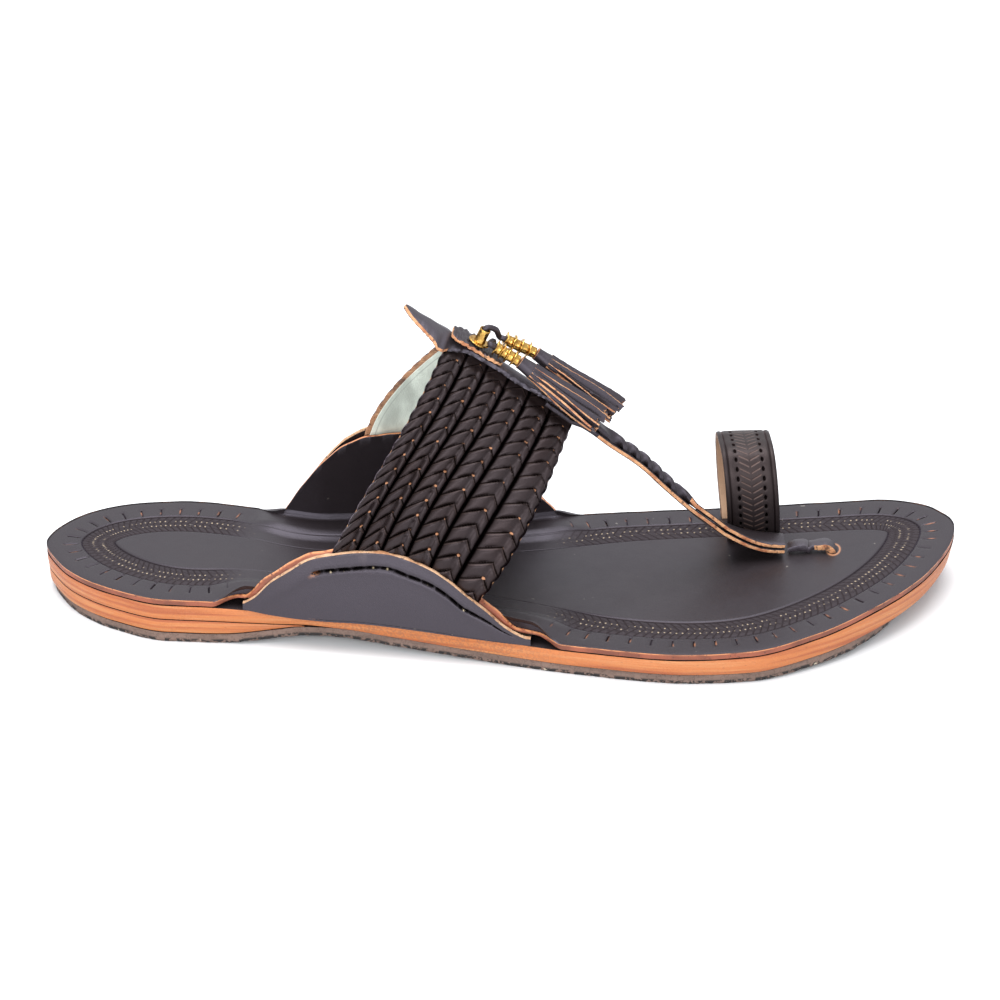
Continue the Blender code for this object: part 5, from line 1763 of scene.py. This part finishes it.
def ring_piece():
    """The toe ring, with its feet in the insole."""
    foot = insole_top(RING_AT)
    shares = [(-across, up) for across, up in RING_SHAPE] + RING_SHAPE[-2::-1]
    path = smooth_path([Vector((0, across * RING_WIDTH / 2, up * RING_HEIGHT)) for across, up in shares], 12)
    path = [Vector((0, path[0].y, -SLOT_DEPTH))] + path + [Vector((0, path[-1].y, -SLOT_DEPTH))]
    walk = walked(path)
    across_steps = 40
    centre = Vector((0, 0, RING_HEIGHT * 0.5))
    rings = []
    for i, point in enumerate(path):
        ahead = ahead_at(path, i)
        into = Vector((0, ahead.z, -ahead.y)).normalized()
        if into.dot(centre - point) < 0:
            into = -into
        into = Matrix.Rotation(radians(RING_TURN), 3, "Z") @ into
        back = RING_LEAN * point.z / RING_HEIGHT
        ring = []
        for k in range(across_steps + 1):
            v = RING_BAND * k / across_steps
            deep = 0.00030 * max(0.0, 1 - min(abs(v - RING_GROOVE), abs(v - RING_BAND + RING_GROOVE)) / 0.0006)
            hole = min(abs(v - RING_HOLES), abs(v - RING_BAND + RING_HOLES))
            turn = abs((walk[i] / RING_PITCH) % 1.0 - 0.5) * RING_PITCH
            deep += 0.00045 * max(0.0, 1 - hole / 0.0007) * max(0.0, 1 - turn / 0.0010)
            rounded = 0.00035 * max(0.0, 1 - min(v, RING_BAND - v) / 0.0009) ** 2
            rough = 0.00010 * wobble(walk[i], v, 0.0, 0.012)
            at = ring_point(v - RING_BAND / 2 - back, point.y, foot + point.z)
            ring.append(at + into * (deep + rounded + rough + 0.00008))
        for k in range(across_steps, -1, -4):
            v = min(max(RING_BAND * k / across_steps, 0.0002), RING_BAND - 0.0002)
            at = ring_point(v - RING_BAND / 2 - back, point.y, foot + point.z)
            ring.append(at + into * RING_WALL)
        rings.append(ring)
    wide = len(rings[0])

    def place(i, k):
        k %= wide
        v = RING_BAND * k / across_steps if k <= across_steps else RING_BAND * (1 - (k - across_steps) / 10)
        return (walk[i], v)

    def finish(i, k):
        if 0 <= k < across_steps:
            return 0
        return 1 if k in (across_steps, wide - 1, -1) else 2

    shape = Shape()
    shape.sweep(rings, finish, place)
    leather = dark_leather("Ring leather", 0.36, 0.25, ring_face, 0.32, (1.0, 0.80, 0.80, 1))
    edge = cut_leather("Ring edge", (0.20, 0.10, 0.06, 1), (0.07, 0.035, 0.022, 1))
    return shape.build("tooled_ring", [leather, edge, tan_suede()], ["toe_ring"], sharp=60)


def stitches_piece():
    """The two stitches that tie the toe strap's end to the insole."""
    rings = []
    path = [
        Vector((along(share), BALL_WIDTH * ANCHOR_SIDE, insole_top(share) + ANCHOR * high + GAP))
        for share, high in STITCH_LINE
    ]
    hole = Vector((along(ANCHOR_HOLE), path[0].y, insole_top(ANCHOR_HOLE)))
    path += [hole - Vector((0, 0, ANCHOR * 0.2)), hole + Vector((0.0003, 0, -ANCHOR))]
    path = smooth_path(path, 12)
    for i, point in enumerate(path):
        ahead = ahead_at(path, i).normalized()
        up = Vector((-ahead.z, 0, ahead.x))
        t = i / (len(path) - 1)
        pinch = 1 - 0.20 * max(0.0, 1 - abs(t - 0.52) / 0.06) - 0.3 * ease(0.85, 1.0, t)
        half = Vector((0, ANCHOR_WIDTH / 2 * pinch, 0))
        humps = [sin(pi * ease(start, start + 0.5, t)) for start in (0.0, 0.5)]
        puffed = ANCHOR * (1 + 0.35 * max(humps))
        rings.append(rounded_strip(point, half, up, puffed, 0.00025, 0.00012, 0.9))
    shape = Shape()
    usual = strip_finish(0, 1, 0)
    shape.sweep(rings, lambda i, k: usual(i, k) if i > len(rings) * 0.52 and k > 8 else 0)
    finishes = [dark_leather("Leaf leather"), cut_leather()]
    return shape.build("anchor_stitches", finishes, ["anchor_lace"], sharp=50)


class SANDAL_OT_toe_ring(bpy.types.Operator):
    """The toe ring and the stitches that tie down the toe strap"""

    bl_idname = "sandal.toe_ring"
    bl_label = "Toe ring"

    def execute(self, context):
        ring_piece()
        stitches_piece()
        return {"FINISHED"}


# Eyelets, beads, laces and tassels


def turned_piece(name, profile, place, axis, steps, wave, nodes, seed):
    """A closed profile of (radius, height) pairs turned round an axis; wave bends its widest parts."""
    turn = axis.to_track_quat("Z", "Y").to_matrix()
    widest = max(radius for radius, _ in profile)
    rings = []
    for i in range(steps):
        angle = 2 * pi * i / steps
        ring = []
        for radius, height in profile:
            far = max(0.0, radius / widest - 0.7) / 0.3
            bent = wave * far * (sin(3 * angle + seed) + 0.6 * sin(5 * angle + 2 * seed))
            at = Vector((radius * cos(angle), radius * sin(angle), height + bent))
            ring.append(place + turn @ at)
        rings.append(ring)
    shape = Shape()
    shape.points = [point for ring in rings for point in ring]
    wide = len(profile)
    for i in range(steps):
        for k in range(wide):
            a, b, j = i * wide, (i + 1) % steps * wide, (k + 1) % wide
            shape.face((a + k, a + j, b + j, b + k))
    return shape.build(name, [brass()], nodes, sharp=50)


def eyelet_profile(length, flange):
    """A thin barrel with a rolled top and a flange with a rolled rim."""
    bore, barrel, rim_at = EYELET_BORE / 2, EYELET_BARREL / 2, flange / 2
    return [
        (bore, 0.0),
        (bore, length * 0.5),
        (bore, length - 0.0002),
        (bore + 0.00010, length),
        (barrel - 0.00008, length + 0.00004),
        (barrel + 0.00006, length - 0.00015),
        (barrel, length - 0.0005),
        (barrel, EYELET_RIM * 2.6),
        (barrel + 0.00012, EYELET_RIM * 1.3),
        (mix(barrel, rim_at, 0.6), EYELET_RIM * 1.05),
        (rim_at - 0.00015, EYELET_RIM * 1.0),
        (rim_at, EYELET_RIM * 0.6),
        (rim_at - 0.00010, 0.00004),
        (mix(barrel, rim_at, 0.4), 0.0),
    ]


def strings():
    """For both bead strings: first bead, neck, end, and the way that the beads run."""
    found = {}
    for which, (first, neck, end) in STRINGS.items():
        start, neck, end = placed(first), placed(neck), placed(end)
        found[which] = (start, neck, end, (neck - start).normalized())
    return found


def eyelet_base():
    return on_top_of_ridge(EYELET_AT, EYELET_SIDE, 3.5 * GAP + RUFFLE), Vector(EYELET_WAY).normalized()


class SANDAL_OT_brass(bpy.types.Operator):
    """The eyelet on the ridge and both stacks of brass beads"""

    bl_idname = "sandal.brass"
    bl_label = "Eyelet and beads"

    def execute(self, context):
        base, way = eyelet_base()
        turned_piece("ridge_eyelet", eyelet_profile(EYELET_LENGTH, EYELET_FLANGE), base, way, 44, 0.00008,
                     ["centre_eyelet"], 0.4)
        for which, (start, neck, _, run) in strings().items():
            pitch = (neck - start) / BEADS
            for i in range(BEADS):
                bead = eyelet_profile(pitch.length - GAP * 0.4, BEAD_FLANGE)
                seed = 1.7 * i + (0.8 if which == "inner" else 0.0)
                turned_piece(f"{which}_brass_bead_{i + 1}", bead, start + pitch * i, run, 36, 0.00016,
                             [f"{which}_bead_{i + 1}"], seed)
        return {"FINISHED"}


def lace_piece(name, path, nodes):
    """A rolled leather lace along a smooth path."""
    path = smooth_path(path, 10)
    rings = []
    across = Vector((0, 1, 0))
    for i, point in enumerate(path):
        ahead = ahead_at(path, i).normalized()
        across = (across - ahead * across.dot(ahead)).normalized()
        up = ahead.cross(across)
        ring = []
        for k in range(14):
            angle = 2 * pi * k / 14
            fold = 1 - 0.10 * max(0.0, cos(3 * angle + i * 0.12))
            ring.append(point + (across * cos(angle) + up * sin(angle)) * (LACE / 2) * fold)
        rings.append(ring)
    shape = Shape()
    shape.sweep(rings, lambda i, k: 0)
    return shape.build(name, [dark_leather("Strap leather")], nodes, sharp=60)


def tassel_piece(which, neck, axis, seed):
    """A collar rolled from one strip, and flat strips that spread out of it and end unevenly."""
    across = axis.cross(Vector((0, 0, 1))).normalized()
    over = across.cross(axis)
    shape = Shape()
    rings = []
    steps = 16
    collar = 0.26
    for i in range(steps + 1):
        t = i / steps
        radius = TASSEL_NECK / 2 * mix(0.95, 1.30, ease(0, 0.8, t))
        at = neck + axis * TASSEL_LENGTH * collar * t
        ring = []
        for k in range(22):
            angle = 2 * pi * k / 22
            crease = 0.00010 * wobble(cos(angle), sin(angle), t * 0.7 + seed, 0.35)
            flat = mix(1.0, 0.80, t)
            ring.append(at + (across * cos(angle) * mix(1.0, 1.12, t) + over * sin(angle) * flat)
                        * (radius + crease))
        rings.append(ring)
    shape.sweep(rings, lambda i, k: 1 if k == -1 else 0)
    rings = []
    for i in range(31):
        t = mix(collar * 0.5, 0.97, i / 30)
        reach = mix(TASSEL_NECK * 0.42, TASSEL_END * 0.42, ease(0.0, 0.9, t))
        at = neck + axis * TASSEL_LENGTH * t
        turns = [2 * pi * k / 16 for k in range(16)]
        rings.append([at + (across * cos(a) + over * sin(a) * 0.8) * reach for a in turns])
    shape.sweep(rings, lambda i, k: 1 if k == -1 else 0)
    strips = 15
    for n in range(strips):
        turn = 2 * pi * (n + 0.25 * sin(3.1 * n + seed)) / strips
        length = 0.965 + 0.035 * sin(2.4 * n + seed * 9)
        rings = []
        count = 46
        for i in range(count + 1):
            t = mix(collar * 0.55, length, i / count)
            fan = ease(0.0, 0.9, t)
            reach = mix(TASSEL_NECK * 0.46, TASSEL_END * 0.53, fan) * (1 + 0.05 * sin(7 * t + 1.9 * n))
            here = turn + 0.10 * fan * sin(5.0 * t + 1.7 * n + seed)
            out = across * cos(here) + over * sin(here) * 0.82
            round_it = (over * cos(here) - across * sin(here)).normalized()
            tilt = 0.50 + 0.25 * sin(3.7 * n)
            wide = mix(0.00080, 0.00125, fan) * (1 + 0.10 * wobble(t, n, seed, 0.05))
            half = (round_it * cos(tilt) + out.normalized() * sin(tilt)) * wide
            up = out.normalized() * cos(tilt) - round_it * sin(tilt)
            at = neck + axis * TASSEL_LENGTH * t + out * reach
            rings.append(rounded_strip(at - up * 0.0004, half, up, 0.0008, 0.00004, 0.00010, n * 0.1))
        tip = rings[-1]
        for k, point in enumerate(tip):
            tip[k] = point + axis * 0.0009 * wobble(k * 0.3, n, seed, 0.5)
        shape.sweep(rings, lambda i, k: 1 if k in ((5, 6), (14,))[n % 2] or k == -1 else 0)
    return shape.build(f"{which}_leather_tassel", [dark_leather("Strap leather"), cut_leather()],
                       [f"{which}_tassel"], sharp=50)


class SANDAL_OT_tassels(bpy.types.Operator):
    """Both laces and both leather tassels"""

    bl_idname = "sandal.tassels"
    bl_label = "Laces and tassels"

    def execute(self, context):
        base, way = eyelet_base()
        for which, (start, neck, end, run) in strings().items():
            if which == "inner":
                top = base + way * EYELET_LENGTH * 1.1
                path = [base + way * EYELET_LENGTH * 0.2, top, (top + start) / 2 + Vector((0, 0, LACE * 0.7))]
            else:
                low = on_top_of_ridge(OUTER_LACE_AT, 0, 3 * GAP + RUFFLE + LACE / 2)
                path = [low, low + Vector((0, -LACE * 0.25, LACE * 1.1))]
            path += [start - run * LACE, start, (start + neck) / 2, neck]
            lace_piece(f"{which}_rolled_lace", path, [f"{which}_lace"])
            tassel_piece(which, neck + run * GAP, (end - neck).normalized(), 0.3 if which == "outer" else 1.1)
        return {"FINISHED"}


# Stage


def studio_light(name, energy, place, target, wide, tall):
    light = bpy.data.lights.new(name, "AREA")
    light.shape = "RECTANGLE"
    light.size, light.size_y = wide, tall
    light.energy = energy
    lamp = bpy.data.objects.new(name, light)
    lamp.location = place
    lamp.rotation_mode = "QUATERNION"
    lamp.rotation_quaternion = (Vector(place) - Vector(target)).to_track_quat("Z", "Y")
    bpy.context.scene.collection.objects.link(lamp)


class SANDAL_OT_stage(bpy.types.Operator):
    """Pale floor, soft light and the photograph's camera"""

    bl_idname = "sandal.stage"
    bl_label = "Stage"

    def execute(self, context):
        scene = context.scene
        studio = scene.sandal_studio
        camera = bpy.data.objects.new("Camera", bpy.data.cameras.new("Camera"))
        scene.collection.objects.link(camera)
        scene.camera = camera
        az, el = studio.azimuth, studio.elevation
        back = Vector((sin(az) * cos(el), -cos(az) * cos(el), sin(el)))
        right = Vector((cos(az), sin(az), 0))
        up = back.cross(right)
        at = Vector((0.1, -0.012, 0.0207)) + back * studio.distance
        rows = [(*axis, place) for *axis, place in zip(right, up, back, at)]
        camera.matrix_world = Matrix(rows + [(0, 0, 0, 1)])
        camera.data.sensor_width = 36
        camera.data.lens = 147.5 * studio.distance / 1.2
        camera.data.shift_x, camera.data.shift_y = 0.004, 0.06
        camera.data.clip_start = 0.01
        made, graph = finish_of("Paper floor")
        paper = graph.noise(3.0, 2.0)
        tone = graph.blend(paper, (0.73, 0.74, 0.76, 1), (0.75, 0.755, 0.76, 1))
        graph.wire(Base_Color=tone, Roughness=0.95, Specular_IOR_Level=0.1)
        mesh = bpy.data.meshes.new("Floor")
        corners = [(-4, -4, 0), (4, -4, 0), (4, 4, 0), (-4, 4, 0)]
        mesh.from_pydata(corners, [], [(0, 1, 2, 3)])
        mesh.materials.append(made)
        floor = bpy.data.objects.new("Floor", mesh)
        scene.collection.objects.link(floor)
        world = bpy.data.worlds.new("White room")
        world.use_nodes = True
        background = world.node_tree.nodes["Background"]
        background.inputs["Color"].default_value = (0.96, 0.975, 1.0, 1)
        background.inputs["Strength"].default_value = studio.sky
        scene.world = world
        centre = (0.1, 0.0, 0.02)
        studio_light("Overhead", studio.key, (0.05, 0.05, 1.25), centre, 1.3, 1.0)
        studio_light("Front", studio.key * 0.45, (0.0, -1.0, 0.45), centre, 1.2, 0.5)
        scene.view_settings.view_transform = "Standard"
        return {"FINISHED"}


class SANDAL_PT_pieces(bpy.types.Panel):
    """Pieces of the sandal, with their sizes and colours"""

    bl_idname = "SANDAL_PT_pieces"
    bl_label = "Kolhapuri Sandal"
    bl_space_type = "VIEW_3D"
    bl_region_type = "UI"
    bl_category = "Sandal"

    def draw(self, context):
        for operator in OPERATORS:
            self.layout.operator(operator.bl_idname)
        for name, group in SETTINGS.items():
            box = self.layout.box()
            box.label(text=group.__name__)
            for setting in group.__annotations__:
                box.prop(getattr(context.scene, name), setting)


OPERATORS = [
    SANDAL_OT_stage,
    SANDAL_OT_sole,
    SANDAL_OT_insole,
    SANDAL_OT_ears,
    SANDAL_OT_band,
    SANDAL_OT_toe_strap,
    SANDAL_OT_ruffle,
    SANDAL_OT_toe_ring,
    SANDAL_OT_brass,
    SANDAL_OT_tassels,
]


def register():
    for group in SETTINGS.values():
        bpy.utils.register_class(group)
    for operator in OPERATORS:
        bpy.utils.register_class(operator)
    bpy.utils.register_class(SANDAL_PT_pieces)
    for name, group in SETTINGS.items():
        setattr(bpy.types.Scene, name, PointerProperty(type=group))


def unregister():
    for name in SETTINGS:
        delattr(bpy.types.Scene, name)
    bpy.utils.unregister_class(SANDAL_PT_pieces)
    for operator in reversed(OPERATORS):
        bpy.utils.unregister_class(operator)
    for group in reversed(SETTINGS.values()):
        bpy.utils.unregister_class(group)


def main():
    register()
    bpy.ops.sandal.stage()
    bpy.ops.sandal.sole()
    bpy.ops.sandal.insole()
    bpy.ops.sandal.ears()
    bpy.ops.sandal.band()
    bpy.ops.sandal.toe_strap()
    bpy.ops.sandal.ruffle()
    bpy.ops.sandal.toe_ring()
    bpy.ops.sandal.brass()
    bpy.ops.sandal.tassels()


if __name__ == "__main__":
    main()
